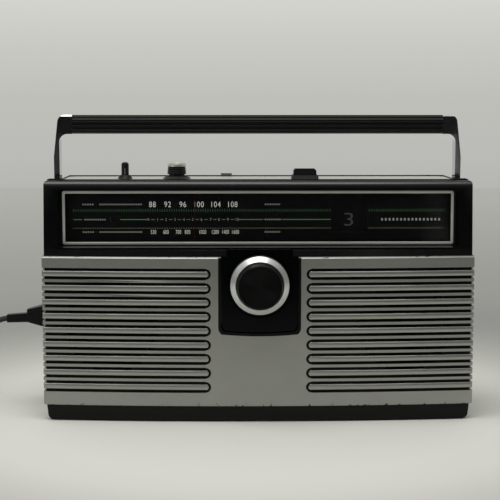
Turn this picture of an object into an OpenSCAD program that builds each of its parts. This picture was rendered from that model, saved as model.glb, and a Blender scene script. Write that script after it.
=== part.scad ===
// Portable 8 track player with an AM/FM tuner, a dial, two speakers and a carrying handle.
// Millimetres. +Z is up, +X is the viewer's right, and the front faces -Y.
// The origin is on the table, under the middle of the player.
// Modules use u, the depth behind the ends of the front panel, as their y; at_front() moves them into place.

/* [Housing] */
// Width of the black housing
body_w = 400; // [390:1:420]
// Depth from the ends of the front panel to the back
body_d = 118; // [116:1:130]
// Height of the top face above the table
body_h = 225.6; // [223.6:0.5:235.6]
// Wall of the mouldings
wall = 3; // [2.4:0.1:3.4]
// Depth at which the front moulding meets the rear one
front_d = 30; // [29:0.5:31]
// Height of the line between the base and the housing
base_top = 15.4; // [13.6:0.1:16]
// Height of the underside of the base
base_low = 1; // [0.6:0.1:2]
// How far the front bows out between its ends
front_bulge = 10; // [9:0.5:11]

/* [Front panel] */
// How far the panel stands out past each side of the housing
panel_over = 2; // [1.6:0.1:2.4]
// Height of the panel's top edge
panel_top = 156.1; // [153.6:0.5:156.6]
// Thickness of the panel
panel_t = 3; // [2.8:0.1:3.4]
// Depth of the panel's side returns
panel_return = 18; // [16:0.5:22]
// Number of bars on each side
bar_count = 9; // [5:1:9]
// Distance between bars
bar_pitch = 13.3; // [12.6:0.1:13.4]
// Height of the middle of the top bar
bar_top = 139.7; // [137.6:0.1:140.6]
// Height of a bar
bar_h = 5.4; // [4.4:0.1:5.8]
// Width of the groove round a bar
groove_w = 2.3; // [1.2:0.1:2.5]
// Depth of the groove
groove_depth = 2.2; // [1.8:0.1:2.4]
// Distance from the middle to the inner end of a groove
groove_in = 44.4; // [44:0.2:48]

/* [Speakers] */
// Distance of each speaker from the middle
speaker_x = 137.5; // [136:0.5:140]
// Height of the speakers' axes
speaker_z = 90.6; // [87.6:0.5:93.6]
// Radius of the cone's opening
speaker_r = 45; // [40:0.5:46]
// Side of the square speaker frame
speaker_frame = 100; // [98:0.5:102]

/* [Dial] */
// Outer width of the bright frame round the dial
bezel_w = 367.4; // [360:0.2:370]
// Height of the frame's lower edge
bezel_low = 165.2; // [164.6:0.2:167.6]
// Height of the frame's upper edge
bezel_high = 216; // [213.6:0.2:216.6]
// Width of the frame's bright line
bezel_line = 2.6; // [2.2:0.1:3]
// Depth of the frame behind the ends of the front panel
bezel_u = 13; // [12:0.5:14]
// Position of the pointer's left stop
pointer_left = -103.5; // [-106:0.5:-100]
// Position of the pointer's right stop
pointer_right = -20.5; // [-24:0.5:-18]
// Position of the pointer at rest
pointer_x = -59.9; // [-90:0.5:-40]

/* [Tuning] */
// Position of the knob's axis across the front
knob_x = 1; // [0:0.5:2]
// Height of the knob's axis
knob_z = 129.9; // [127.6:0.5:131.6]
// Radius of the bright ring
knob_ring_r = 27.3; // [26:0.1:28]
// Radius of the knob's black cap
knob_cap_r = 22; // [21:0.1:23]
// How far the knob stands out in front of the panel's ends
knob_out = 31; // [30:0.5:34]
// Radius of the tuning shaft
shaft_r = 3; // [2.8:0.1:3.2]
// Radius of the drum on the tuning capacitor
drum_r = 26; // [25.6:0.1:26.4]

/* [Handle] */
// Distance from the middle to the outer face of an arm
arm_out = 195.4; // [195:0.1:196]
// Thickness of an arm
arm_t = 5.4; // [4.8:0.1:5.6]
// Width of an arm, front to back
arm_w = 13; // [12:0.5:14]
// Depth of the handle's pivot
handle_u = 55; // [55:0.5:58]
// Height of the pivot
pivot_z = 190.6; // [189.6:0.5:192.6]
// Height of the grip's axis
grip_z = 277.2; // [273.6:0.2:280.6]
// Radius of the grip
grip_r = 9.05; // [8.6:0.05:9.5]
// Width of the block at each end of the grip, with its arm
handle_block = 17.9; // [16.5:0.1:19.5]

/* [Controls] */
// Depth of the row of controls
control_u = 60; // [58:0.5:62]
// Position of the selector
selector_x = -128.4; // [-132:0.2:-125]
// Position of the volume knob
volume_x = -78.3; // [-82:0.2:-75]
// Position of the program button
program_x = 46; // [42:0.5:50]
// Travel of the program button
button_travel = 3.5; // [2.5:0.1:4]

/* [Cartridge] */
// Width of the cartridge slot, front to back
slot_w = 24; // [23.5:0.1:24.5]
// Height of the cartridge slot
slot_h = 104; // [103:0.5:105]
// Depth of the slot's front edge
slot_u = 60; // [60:0.2:61]
// Height of the slot's middle
slot_z = 95.6; // [93.6:0.5:97.6]

/* [Power] */
// Depth of the mains inlet
inlet_u = 70; // [68:0.5:72]
// Height of the mains inlet
inlet_z = 89.2; // [87.6:0.2:91.6]
// Width of the flat mains cord
cord_w = 5.6; // [5:0.1:6]
// Thickness of the flat mains cord
cord_t = 2.8; // [2.5:0.1:3]

/* [Hidden] */
$fn = 48;

clear = 0.3;            // between pieces that do not fit in each other
run = 0.05;             // radial clearance of a shaft in its bore
half_w = body_w / 2;
front_y = knob_out - (knob_out + body_d) / 2;
front_r = (half_w * half_w + front_bulge * front_bulge) / (2 * front_bulge);
front_cu = front_r - front_bulge;
panel_half = half_w + panel_over;
frame_back = 1.4;       // the black frame's face stands this far behind the panel's
ledge_z = 162;        // front edge of the ledge under the dial
glass_w = bezel_w - 2 * bezel_line + 1.4;
glass_low = bezel_low + bezel_line - 0.7;
glass_high = bezel_high - bezel_line + 0.7;
plate_u = bezel_u + 5.4;
baffle_u = 7;
esc_half = 35.2;        // half the width of the knob's surround
tab_half = 30.5;        // half the width of its tab
esc_low = 87;
esc_high = 162.7;
esc_u = -8;             // face of the surround
drum_x = knob_x + 59;
drum_z = knob_z + 15.7;
pulley_r = 6.2;
pulley_z = bezel_high - 15;
pulley_left_x = -170;
pulley_right_x = 150;
cord_plane = 27;
rail_u = 23.6;
rail_z = 211.6;
arm_in = arm_out - arm_t;
grip_half = arm_out - handle_block; // half the length of the grip
recess_x = arm_in - 2;  // outer face of the wall behind an arm
recess_u = handle_u - 9;
recess_z = pivot_z - 17;
top_t = 1.2;
plate_z = body_h - 0.8;  // top of the plate, a little below the rim round it
rod_z = body_h - 3;     // axis of the telescopic rod as it lies in its channel
rod_u = body_d - 7.6;
trough_z = body_h - 12.5; // floor of the open trough in which the rod lies
trough_u = rod_u - 5.2;   // front wall of the trough
mast_x = half_w - 25;
rod_len = 200;
door_axis_x = half_w - 5.5;
door_axis_u = slot_u + slot_w + 4.3;
bay_in = half_w - 94;   // inner end of the cartridge bay
bay_back = door_axis_u - 1.8;
deck_u = bay_back + 1.5;
capstan_x = bay_in - 5;
capstan_z = slot_z + 25;
motor_x = bay_in - 24;
motor_z = slot_z - 34;
wheel_r = 33;
motor_pulley_r = 5;
battery_u = body_d - 38;
battery_low = 20.6;
battery_high = 93.6;
battery_left = -half_w + 24;
battery_right = motor_x - 22;
lid_u = body_d - 1.3;   // axis of the battery lid
lid_z = battery_low + 3.7;
coil_at = [-320, 128];
coil_r = 33.6;          // middle of the coil's turns
plug_at = [coil_at.x - coil_r - 1.5 * cord_w, coil_at.y + 48];
lay_z = cord_w / 2 + 0.15; // middle of a cord that lies on its edge on the table
// Route of the mains cord from its strain relief to the coil, as x, depth u, z
cord_route = [
    [-half_w - 47, inlet_u, inlet_z - 3], [-256, 70, 83.8], [-268, 70, 77], [-279, 70, 66.5], [-287, 70.5, 54],
    [-295, 72, 41], [-304, 75, 28], [-315, 76.5, 17], [-326, 78, 9], [-337, 80, 4.4],
    [-346.6, 81.9, 3.05], [-354.7, 87.3, lay_z], [-360.1, 95.4, lay_z], [-362, 105, lay_z], [-362, 116, lay_z]
];

module at_front() {
    translate([0, front_y, 0]) children();
}

// Extrudes a shape drawn in x and z between two depths.
module along_y(y0, y1) {
    translate([0, y1, 0]) rotate([90, 0, 0]) linear_extrude(y1 - y0) children();
}

// Extrudes a shape drawn in y and z between two x positions.
module along_x(x0, x1) {
    translate([x0, 0, 0]) rotate([90, 0, 90]) linear_extrude(x1 - x0) children();
}

module rod_y(x, z, r, y0, y1) {
    translate([x, y0, z]) rotate([-90, 0, 0]) cylinder(r = r, h = y1 - y0);
}

module rod_x(y, z, r, x0, x1) {
    translate([x0, y, z]) rotate([0, 90, 0]) cylinder(r = r, h = x1 - x0);
}

module block(x0, x1, y0, y1, z0, z1) {
    translate([x0, y0, z0]) cube([x1 - x0, y1 - y0, z1 - z0]);
}

// Rectangle from low to high with round corners.
module rounded(low, high, r) {
    translate([low.x + r, low.y]) square([high.x - low.x - 2 * r, high.y - low.y]);
    translate([low.x, low.y + r]) square([high.x - low.x, high.y - low.y - 2 * r]);
    for (x = [low.x + r, high.x - r], y = [low.y + r, high.y - r]) translate([x, y]) circle(r = r);
}

// Turned shape: the profile's x is the radius and its y runs from the given depth towards the back.
module turned_y(x, u, z) {
    translate([x, u, z]) rotate([-90, 0, 0]) rotate_extrude() children();
}

// Outline of the player seen from above, with the bowed front set back by inset.
module plan(inset, half, back) {
    intersection() {
        translate([0, front_cu]) circle(r = front_r - inset, $fn = 256);
        translate([-half, -front_bulge - 1]) square([2 * half, back + front_bulge + 1]);
    }
}

// Everything in front of the bowed face, set back by inset.
module ahead_of_front(inset, z0, z1) {
    difference() {
        block(-panel_half - 5, panel_half + 5, -front_bulge - 5, 12, z0, z1);
        translate([0, front_cu, z0 - 1]) cylinder(r = front_r - inset, h = z1 - z0 + 2, $fn = 256);
    }
}

// ---- Front moulding ----

// Section of the front moulding, with a rounded top edge.
module side_profile() {
    r = 6.4;
    polygon(concat(
        [[-front_bulge - 1, base_top - 1], [-front_bulge - 1, ledge_z], [1.2, ledge_z]],
        [for (a = [165 : -15 : 90]) [12 + r * cos(a), body_h - r + r * sin(a)]],
        [[front_d + 1, body_h], [front_d + 1, base_top - 1]]
    ));
}

module dial_recess() {
    intersection() {
        along_y(-front_bulge - 5, bezel_u) rounded(
            [-bezel_w / 2 - 3.3, ledge_z - 0.1], [bezel_w / 2 + 3.3, bezel_high + 0.6], 2);
        along_x(-half_w, half_w) polygon([
            [-front_bulge - 5, ledge_z - 0.4], [bezel_u, bezel_low - 0.4],
            [bezel_u, body_h], [-front_bulge - 5, body_h]
        ]);
    }
}

module front_frame() {
    color([0.03, 0.03, 0.03]) at_front() difference() {
        union() {
            intersection() {
                along_x(-half_w - 1, half_w + 1) side_profile();
                union() {
                    intersection() {
                        translate([0, 0, panel_top - wall]) linear_extrude(body_h - panel_top + wall)
                            plan(frame_back, half_w, plate_u);
                        along_y(-front_bulge - 1, plate_u) rounded(
                            [-half_w, base_top], [half_w, body_h], 3);
                    }
                    difference() {
                        along_y(panel_t + 1, front_d) rounded([-half_w, base_top], [half_w, body_h], 3);
                        along_y(plate_u, front_d + 1) rounded(
                            [-half_w + wall, base_top + wall], [half_w - wall, body_h - wall], 1.5);
                        along_y(0, plate_u) rounded(
                            [-half_w + wall, base_top + wall], [half_w - wall, panel_top - wall], 1.5);
                    }
                }
            }
            block(-half_w + 1, half_w - 1, baffle_u, baffle_u + wall, base_top + 1, panel_top);
            rod_y(knob_x, knob_z, 9, baffle_u, baffle_u + 8);
        }
        dial_recess();
        along_y(bezel_u - 1, plate_u + 1) rounded(
            [-glass_w / 2, glass_low], [glass_w / 2, glass_high], 1);
        block(-glass_w / 2, glass_w / 2, bezel_u + 2.2, plate_u + 1, glass_high - 2, body_h - wall - 2);
        for (side = [-1, 1]) rod_y(side * speaker_x, speaker_z, speaker_r, baffle_u - 1, baffle_u + wall + 1);
        rod_y(knob_x, knob_z, shaft_r + run, baffle_u - 1, baffle_u + 9);
        surround_solid(clear);
        along_y(-front_bulge - 2, esc_u) surround_outline(clear);
        ahead_of_front(panel_t + 0.1, base_top - 1, panel_top);
    }
}

// ---- Front panel ----

// Outline of the knob's surround: straight sides, a bottom edge that is a shallow arc, and a narrower tab on top.
module surround_outline(grow) {
    half = esc_half + grow;
    low = esc_low - grow;
    sag = 2;
    arc = (half * half + sag * sag) / (2 * sag);
    intersection() {
        translate([knob_x, low + arc - sag]) circle(r = arc, $fn = 256);
        rounded([knob_x - half, low - sag], [knob_x + half, panel_top + 9], 8);
        translate([knob_x - half, low - sag]) square([2 * half, panel_top - low + sag + 0.2]);
    }
    rounded([knob_x - tab_half - grow, panel_top - 9], [knob_x + tab_half + grow, esc_high + grow], 2.5);
}

// The surround as a solid: a full body below the panel's top edge, and a shallow tab above it.
module surround_solid(grow) {
    difference() {
        along_y(esc_u - grow, baffle_u) surround_outline(grow);
        block(-half_w, half_w, grow, baffle_u + 1, panel_top - wall - grow, esc_high + 2);
    }
}

module bar_outlines(grow, reach) {
    r = bar_h / 2 + grow;
    for (i = [0 : bar_count - 1], side = [-1, 1]) translate([0, bar_top - i * bar_pitch]) {
        x0 = groove_in + groove_w + bar_h / 2;
        translate([side > 0 ? x0 : -reach, -r]) square([reach - x0, 2 * r]);
        translate([side * x0, 0]) circle(r = r);
    }
}

// Half the length of a level chord of the speaker opening at height z.
function chord(z) = sqrt(max(0, pow(speaker_r - 1, 2) - pow(z - speaker_z, 2)));

module sound_slits() {
    for (i = [0 : bar_count - 1], edge = [-1, 1]) {
        z = bar_top - i * bar_pitch + edge * (bar_h + groove_w) / 2;
        half = chord(z);
        if (half > 6) for (side = [-1, 1])
            block(side * speaker_x - half, side * speaker_x + half,
                -front_bulge - 2, baffle_u - 0.5, z - groove_w / 2, z + groove_w / 2);
    }
}

module side_grooves() {
    u_end = panel_return - 4;
    for (i = [0 : bar_count - 1], side = [-1, 1]) {
        z = bar_top - i * bar_pitch;
        x0 = side > 0 ? panel_half - 1.1 : -panel_half - 1;
        along_x(x0, x0 + 2.1) difference() {
            rounded([-4, z - bar_h / 2 - groove_w], [u_end, z + bar_h / 2 + groove_w], bar_h / 2);
            rounded([-6, z - bar_h / 2], [u_end - groove_w, z + bar_h / 2], bar_h / 2 - 0.3);
        }
    }
}

// Crowned faces of the bars, standing a little proud of the panel's bowed face.
module bar_crowns() {
    proud = 0.9;
    half = bar_h / 2;
    intersection() {
        along_y(-front_bulge - 3, 8) bar_outlines(0, panel_half - 1.2);
        for (i = [0 : bar_count - 1]) translate([0, front_cu, bar_top - i * bar_pitch])
            rotate_extrude($fn = 256) polygon([
                [front_r - 1, -half], [front_r, -half], [front_r + 0.55, -half + 0.5],
                [front_r + proud, -half + 1.5], [front_r + proud, half - 1.5],
                [front_r + 0.55, half - 0.5], [front_r, half], [front_r - 1, half]
            ]);
    }
}

// What is cut off the panel's top edge.
module top_bevel() {
    bevel = 1.8;
    reach = 3;
    translate([0, front_cu, 0]) rotate_extrude($fn = 256) polygon([
        [front_r - bevel - 0.2, panel_top + 0.2], [front_r + reach, panel_top + 0.2],
        [front_r + reach, panel_top - bevel - reach]
    ]);
}

module grille_panel() {
    color([0.62, 0.61, 0.58]) at_front() {
        difference() {
            intersection() {
                translate([0, 0, base_top]) linear_extrude(panel_top - base_top) difference() {
                    plan(0, panel_half, panel_return);
                    intersection() {
                        plan(panel_t, half_w, baffle_u - 0.5);
                        translate([-half_w, -front_bulge]) square([body_w, front_bulge + baffle_u]);
                    }
                    translate([-half_w, panel_t + 1]) square([body_w, panel_return]);
                }
                along_y(-front_bulge - 1, panel_return) rounded(
                    [-panel_half, base_top], [panel_half, panel_top], 1.2);
            }
            intersection() {
                along_y(-front_bulge - 2, 8) difference() {
                    bar_outlines(groove_w, panel_half + 4);
                    bar_outlines(0, panel_half + 6);
                }
                ahead_of_front(groove_depth, base_top, panel_top);
            }
            sound_slits();
            side_grooves();
            top_bevel();
            along_y(-front_bulge - 2, baffle_u) surround_outline(1);
            intersection() {
                along_y(-front_bulge - 2, 8) surround_outline(3.4);
                ahead_of_front(1.1, base_top, panel_top);
            }
        }
        bar_crowns();
    }
}

module escutcheon() {
    color([0.02, 0.02, 0.025]) at_front() difference() {
        surround_solid(0);
        translate([knob_x, esc_u - 1, knob_z]) rotate([-90, 0, 0]) cylinder(r = knob_ring_r + 3.7, h = 3.6);
        rod_y(knob_x, knob_z, shaft_r + 2, esc_u - 1, baffle_u + 1);
    }
}

// ---- Dial ----

module dial_bezel() {
    color([0.85, 0.85, 0.84]) at_front() along_y(bezel_u - 1.4, bezel_u) difference() {
        rounded([-bezel_w / 2, bezel_low], [bezel_w / 2, bezel_high], 2.2);
        rounded([-bezel_w / 2 + bezel_line, bezel_low + bezel_line],
            [bezel_w / 2 - bezel_line, bezel_high - bezel_line], 1);
    }
}

module dial_glass() {
    color([0.1, 0.11, 0.12, 0.5]) at_front() along_y(bezel_u, bezel_u + 2) rounded(
        [-glass_w / 2 + 0.1, glass_low + 0.1], [glass_w / 2 - 0.1, glass_high - 0.1], 1);
}

window_x = 86.4;        // middle of the program window
window_z = 191.1;
window_half_w = 17.2;
window_half_h = 14.8;

module dial_plate() {
    color([0.02, 0.03, 0.03]) at_front() difference() {
        along_y(plate_u, plate_u + 1.5) square_span(
            [-glass_w / 2 - 4, glass_low - 2], [glass_w / 2 + 4, glass_high - 0.2]);
        along_y(plate_u - 1, plate_u + 3) square_span(
            [window_x - window_half_w, window_z - window_half_h],
            [window_x + window_half_w, window_z + window_half_h]);
    }
}

module square_span(low, high) {
    translate(low) square(high - low);
}

module dial_pointer() {
    needle_u = bezel_u + 3.2;
    color([0.85, 0.1, 0.05]) at_front() difference() {
        union() {
            block(pointer_x - 0.45, pointer_x + 0.45, needle_u, needle_u + 0.7, glass_low + 1.6, rail_z + 4.6);
            block(pointer_x - 0.45, pointer_x + 0.45, needle_u, rail_u + 2, rail_z + 3.9, rail_z + 4.6);
            block(pointer_x - 5, pointer_x + 5, rail_u - 2, rail_u + 2, rail_z - 3, rail_z + 4.2);
        }
        rod_x(rail_u, rail_z, 1 + run, pointer_x - 6, pointer_x + 6);
    }
}

module pointer_rail() {
    rail_ends = [pointer_left - 20, pointer_right + 20];
    color([0.7, 0.7, 0.72]) at_front() {
        rod_x(rail_u, rail_z, 1, rail_ends[0], rail_ends[1]);
        for (x = rail_ends) block(x - 2, x + 2, plate_u + 1.5, rail_u + 2, rail_z - 4, rail_z + 3);
    }
}

// Angle of the outside tangent from circle a to circle b, taken clockwise round both.
function tangent_angle(a, ra, b, rb) =
    atan2(b.y - a.y, b.x - a.x) + acos((ra - rb) / norm(b - a));
function on_circle(c, r, a) = c + r * [cos(a), sin(a)];

cord_r = 0.4;
loop_at = [
    [pulley_left_x, pulley_z], [pulley_right_x, pulley_z], [drum_x, drum_z], [knob_x, knob_z]
];
loop_r = [for (r = [pulley_r, pulley_r, drum_r, shaft_r + 1]) r + cord_r + 0.1];
loop_angle = [for (i = [0 : 3]) let (j = (i + 1) % 4)
    tangent_angle(loop_at[i], loop_r[i], loop_at[j], loop_r[j])];

// Closed loop round the four wheels, grown outwards by grow, with its arcs in short steps.
module loop_outline(grow) {
    steps = 24;
    polygon([for (i = [0 : 3]) let (
            j = (i + 1) % 4,
            turn = (loop_angle[i] - loop_angle[j] + 720) % 360)
        for (k = [0 : steps]) on_circle(loop_at[j], loop_r[j] + grow, loop_angle[i] - turn * k / steps)]);
}

module dial_cord() {
    color([0.8, 0.78, 0.7]) at_front() along_y(cord_plane - cord_r, cord_plane + cord_r) difference() {
        loop_outline(cord_r);
        loop_outline(-cord_r);
    }
}

module cord_pulley(x) {
    color([0.9, 0.9, 0.86]) at_front() turned_y(x, cord_plane - 2, pulley_z) polygon([
        [1.5 + run, 0], [pulley_r + 1.4, 0], [pulley_r + 1.4, 0.8], [pulley_r, 1.6],
        [pulley_r, 2.4], [pulley_r + 1.4, 3.2], [pulley_r + 1.4, 4], [1.5 + run, 4]
    ]);
}

module cord_pulley_left() {
    cord_pulley(pulley_left_x);
}

module cord_pulley_right() {
    cord_pulley(pulley_right_x);
}

// ---- Tuning ----

chassis_u = cord_plane + 6.5;

module tuning_chassis() {
    color([0.6, 0.6, 0.58]) at_front() difference() {
        union() {
            block(pulley_left_x - 8, pulley_right_x + 8, chassis_u, chassis_u + 1.5, pulley_z - 10, pulley_z + 10);
            block(knob_x - 16, drum_x + 30, chassis_u, chassis_u + 1.5, knob_z - 14, pulley_z - 10);
            for (x = [pulley_left_x, pulley_right_x])
                rod_y(x, pulley_z, 1.5, cord_plane - 2.5, chassis_u);
            for (x = [pulley_left_x, pulley_right_x])
                rod_y(x, pulley_z, 2.6, cord_plane + 2.4, chassis_u);
            for (x = [pulley_left_x + 12, pulley_right_x - 12])
                block(x - 4, x + 4, plate_u + 1.5, chassis_u, pulley_z - 9, pulley_z - 4);
            rod_y(knob_x, knob_z, 7, chassis_u, chassis_u + 4);
        }
        rod_y(knob_x, knob_z, shaft_r + run, chassis_u - 1, chassis_u + 5);
        rod_y(drum_x, drum_z, shaft_r + run, chassis_u - 1, chassis_u + 3);
    }
}

module tuning_drum() {
    color([0.88, 0.87, 0.8]) at_front() {
        difference() {
            turned_y(drum_x, cord_plane - 3, drum_z) polygon([
                [0, 0], [7, 0], [7, 2], [drum_r - 5, 2], [drum_r - 5, 0.5], [drum_r + 1.6, 0.5],
                [drum_r, 2.2], [drum_r, 3.8], [drum_r + 1.6, 5.5], [drum_r - 5, 5.5],
                [drum_r - 5, 4], [7, 4], [7, 6], [0, 6]
            ]);
            for (a = [0 : 60 : 300])
                rod_y(drum_x + (drum_r - 11) * cos(a), drum_z + (drum_r - 11) * sin(a), 3.6,
                    cord_plane - 4, cord_plane + 4);
        }
        rod_y(drum_x, drum_z, shaft_r, cord_plane - 3, chassis_u + 6);
    }
}

module tuning_capacitor() {
    color([0.75, 0.76, 0.78]) at_front() difference() {
        block(drum_x - 16, drum_x + 16, chassis_u + 1.5, chassis_u + 22, drum_z - 16, drum_z + 16);
        rod_y(drum_x, drum_z, shaft_r + run, chassis_u, chassis_u + 8);
        for (i = [0 : 2])
            block(drum_x - 17, drum_x + 17, chassis_u + 9 + i * 4, chassis_u + 11 + i * 4,
                drum_z - 17, drum_z - 8);
    }
}

module tuning_shaft() {
    color([0.7, 0.7, 0.7]) at_front() {
        rod_y(knob_x, knob_z, shaft_r, -knob_out + 5, chassis_u + 4);
        rod_y(knob_x, knob_z, shaft_r + 1, cord_plane - 3, cord_plane + 3);
    }
}

ring_u = -20;

module tuning_knob_ring() {
    color([0.8, 0.8, 0.78]) at_front() turned_y(knob_x, ring_u, knob_z) polygon([
        [knob_cap_r + 0.1, 0], [knob_cap_r + 0.7, 0], [knob_ring_r, 4.2], [knob_ring_r, -ring_u + esc_u + 1.6],
        [knob_ring_r - 2, -ring_u + esc_u + 1.6], [knob_ring_r - 2, 4], [knob_cap_r + 0.1, 4]
    ]);
}

module tuning_knob_cap() {
    cap_h = knob_out + ring_u;
    grips = 56;
    color([0.03, 0.03, 0.035]) at_front() difference() {
        turned_y(knob_x, -knob_out, knob_z) polygon([
            [0, 0.5], [knob_cap_r - 3.4, 0.5], [knob_cap_r - 2.8, 0], [knob_cap_r - 2, 0.7],
            [knob_cap_r, cap_h], [knob_cap_r, cap_h + 4.2], [shaft_r + 4, cap_h + 4.2],
            [shaft_r + 4, cap_h + 10], [0, cap_h + 10]
        ]);
        rod_y(knob_x, knob_z, shaft_r, -knob_out + 5, 0);
        for (i = [0 : grips - 1]) translate([knob_x, ring_u, knob_z]) rotate([0, i * 360 / grips, 0])
            translate([knob_cap_r + 0.25, 0, 0]) rotate([90, 0, atan(2 / cap_h)])
            cylinder(r = 0.65, h = cap_h + 1, $fn = 16);
    }
}

module program_display() {
    back_u = plate_u + 2.2;
    color([0.07, 0.08, 0.07]) at_front() difference() {
        block(window_x - window_half_w - 2, window_x + window_half_w + 2, plate_u + 1.5, back_u + 3,
            window_z - window_half_h - 2, window_z + window_half_h + 2);
        block(window_x - window_half_w, window_x + window_half_w, plate_u, back_u,
            window_z - window_half_h, window_z + window_half_h);
    }
}

// ---- Rear moulding, base and top ----

// The stepped sides in which the handle's arms swing, grown inwards by grow.
module arm_recess(grow) {
    for (side = [-1, 1]) {
        x0 = side > 0 ? recess_x - grow : -half_w - 1;
        x1 = side > 0 ? half_w + 1 : -recess_x + grow;
        block(x0, x1, recess_u - grow, body_d + 1, recess_z - grow, body_h + 1);
    }
}

module cabinet_outline(inset) {
    rounded([-half_w + inset, front_d - 10], [half_w - inset, body_d - inset], 8 - inset);
}

module cabinet_solid(inset) {
    intersection() {
        translate([0, 0, base_top + inset]) linear_extrude(body_h - base_top - 2 * inset)
            cabinet_outline(inset);
        along_x(-half_w, half_w) rounded(
            [front_d - 10, base_top - 9], [body_d - inset, body_h - inset], 4);
    }
}

boss_x = min(recess_x, half_w - 2) - 6; // inner end of the handle's pivot bosses
vent_count = 14;
vent_pitch = 12;

module rear_cabinet() {
    color([0.05, 0.05, 0.05]) at_front() difference() {
        union() {
            difference() {
                cabinet_solid(0);
                difference() {
                    cabinet_solid(wall);
                    arm_recess(wall);
                }
                arm_recess(0);
            }
            for (side = [-1, 1]) rod_x(handle_u, pivot_z, 8,
                side > 0 ? boss_x : -arm_in + 0.3, side > 0 ? arm_in - 0.3 : -boss_x);
            for (z = [slot_z - slot_h / 2 - 4.6, slot_z + slot_h / 2 + 0.6])
                block(door_axis_x - 3, half_w - 1, door_axis_u - 3, door_axis_u + 3, z, z + 4);
            block(-recess_x, recess_x, trough_u - 2, body_d, trough_z - 2, body_h - 1);
        }
        block(-half_w - 1, half_w + 1, front_d - 11, front_d, 0, body_h + 1);
        block(recess_x - 20, half_w + 1, slot_u, slot_u + slot_w + 0.3,
            slot_z - slot_h / 2, slot_z + slot_h / 2);
        for (side = [-1, 1]) rod_x(handle_u, pivot_z, 3 + run,
            side > 0 ? boss_x - 1 : -arm_in, side > 0 ? arm_in : -boss_x + 1);
        translate([0, 0, plate_z - top_t]) linear_extrude(top_t + 2) top_outline(0.2);
        rod_trough();
        rod_x(lid_u, lid_z, 0.8 + run, battery_left + 1, battery_right - 1);
        block(battery_left + 3, battery_right - 3, body_d - wall - 1, body_d + 1,
            battery_low + 2, battery_high - 2);
        along_x(-half_w - 1, -half_w + wall + 1) square_span(
            [inlet_u - 10.2, inlet_z - 11.2], [inlet_u + 10.2, inlet_z + 11.2]);
        for (z = [slot_z - slot_h / 2 - 4.6, slot_z + slot_h / 2])
            translate([door_axis_x, door_axis_u, z]) cylinder(r = 1, h = 4.6);
        translate([selector_x, control_u, body_h - 6]) cylinder(r = 5, h = 8);
        translate([volume_x, control_u, body_h - 6]) cylinder(r = 5.2, h = 8);
        block(program_x - 11.4, program_x + 11.4, control_u - 7.4, control_u + 7.4, body_h - 6, body_h + 2);
        for (i = [0 : vent_count - 1]) translate([-half_w + 40 + i * vent_pitch, 0, 0])
            block(0, vent_pitch / 2, body_d - wall - 1, body_d + 1, body_h - 60, body_h - 30);
    }
}

module base_pan() {
    color([0.04, 0.04, 0.045]) at_front() difference() {
        intersection() {
            translate([0, 0, base_low]) linear_extrude(base_top - base_low) intersection() {
                plan(1.5, half_w, body_d);
                rounded([-half_w, -front_bulge - 9], [half_w, body_d], 8);
            }
            along_x(-half_w - 2, half_w + 2) polygon([
                [-front_bulge - 1, base_top], [-front_bulge - 1, base_low + 3], [-front_bulge + 3.5, base_low],
                [body_d - 4, base_low], [body_d, base_low + 4], [body_d, base_top]
            ]);
            along_y(-front_bulge - 2, body_d + 1) polygon([
                [-half_w + 0.6, base_top], [-half_w + 1.8, base_low + 3.4], [-half_w + 4.4, base_low],
                [half_w - 4.4, base_low], [half_w - 1.8, base_low + 3.4], [half_w - 0.6, base_top]
            ]);
        }
        block(-half_w + 10, half_w - 10, 12, body_d - 10, base_low + wall, base_top + 1);
        for (foot = foot_places) translate([foot.x, foot.y, base_low - 1])
            linear_extrude(2.2) foot_outline(foot.z, 0.1);
    }
}

// Middle of each foot, as x and depth, and half its length
foot_places = [for (foot = [[-130, 31], [67, 37]], u = [8, body_d - 14]) [foot.x, u, foot.y]];

module foot_outline(half, grow) {
    rounded([-half - grow, -6 - grow], [half + grow, 6 + grow], 5);
}

module feet() {
    color([0.1, 0.1, 0.1]) at_front() for (foot = foot_places)
        translate([foot.x, foot.y, 0]) linear_extrude(base_low + 1.2) foot_outline(foot.z, 0);
}

module top_outline(grow) {
    low = front_d + 3 - grow;
    high = body_d - 16 + grow;
    end = recess_x - 1;
    cut = 6;
    polygon([
        [-end, low], [end, low], [end, high - cut], [end - cut, high], [-end + cut, high], [-end, high - cut]
    ]);
}

module top_plate() {
    color([0.7, 0.7, 0.68]) at_front() difference() {
        translate([0, 0, plate_z - top_t]) linear_extrude(top_t) top_outline(0);
        translate([selector_x, control_u, body_h - 2]) cylinder(r = 5, h = 4);
        translate([volume_x, control_u, body_h - 2]) cylinder(r = 5.2, h = 4);
        block(program_x - 11.4, program_x + 11.4, control_u - 7.4, control_u + 7.4, body_h - 2, body_h + 2);
    }
}

module control_collars() {
    color([0.04, 0.04, 0.04]) at_front() {
        translate([selector_x, control_u, plate_z]) difference() {
            cylinder(r1 = 7.3, r2 = 5, h = 3.4);
            translate([0, 0, -1]) cylinder(r = 3.9, h = 5);
        }
        translate([volume_x, control_u, plate_z]) difference() {
            cylinder(r1 = 14, r2 = 10.6, h = 2.3);
            translate([0, 0, -1]) cylinder(r = 5.2, h = 4);
        }
        difference() {
            intersection() {
                along_y(control_u - 12, control_u + 12) polygon([
                    [program_x - 13.1, plate_z], [program_x + 13.1, plate_z],
                    [program_x + 12.4, body_h + 2.6], [program_x - 12.4, body_h + 2.6]
                ]);
                along_x(program_x - 15, program_x + 15) polygon([
                    [control_u - 9.9, plate_z], [control_u + 9.9, plate_z],
                    [control_u + 8.4, body_h + 2.6], [control_u - 8.4, body_h + 2.6]
                ]);
            }
            block(program_x - 11.4, program_x + 11.4, control_u - 7.4, control_u + 7.4, body_h - 1, body_h + 4);
        }
    }
}

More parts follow.
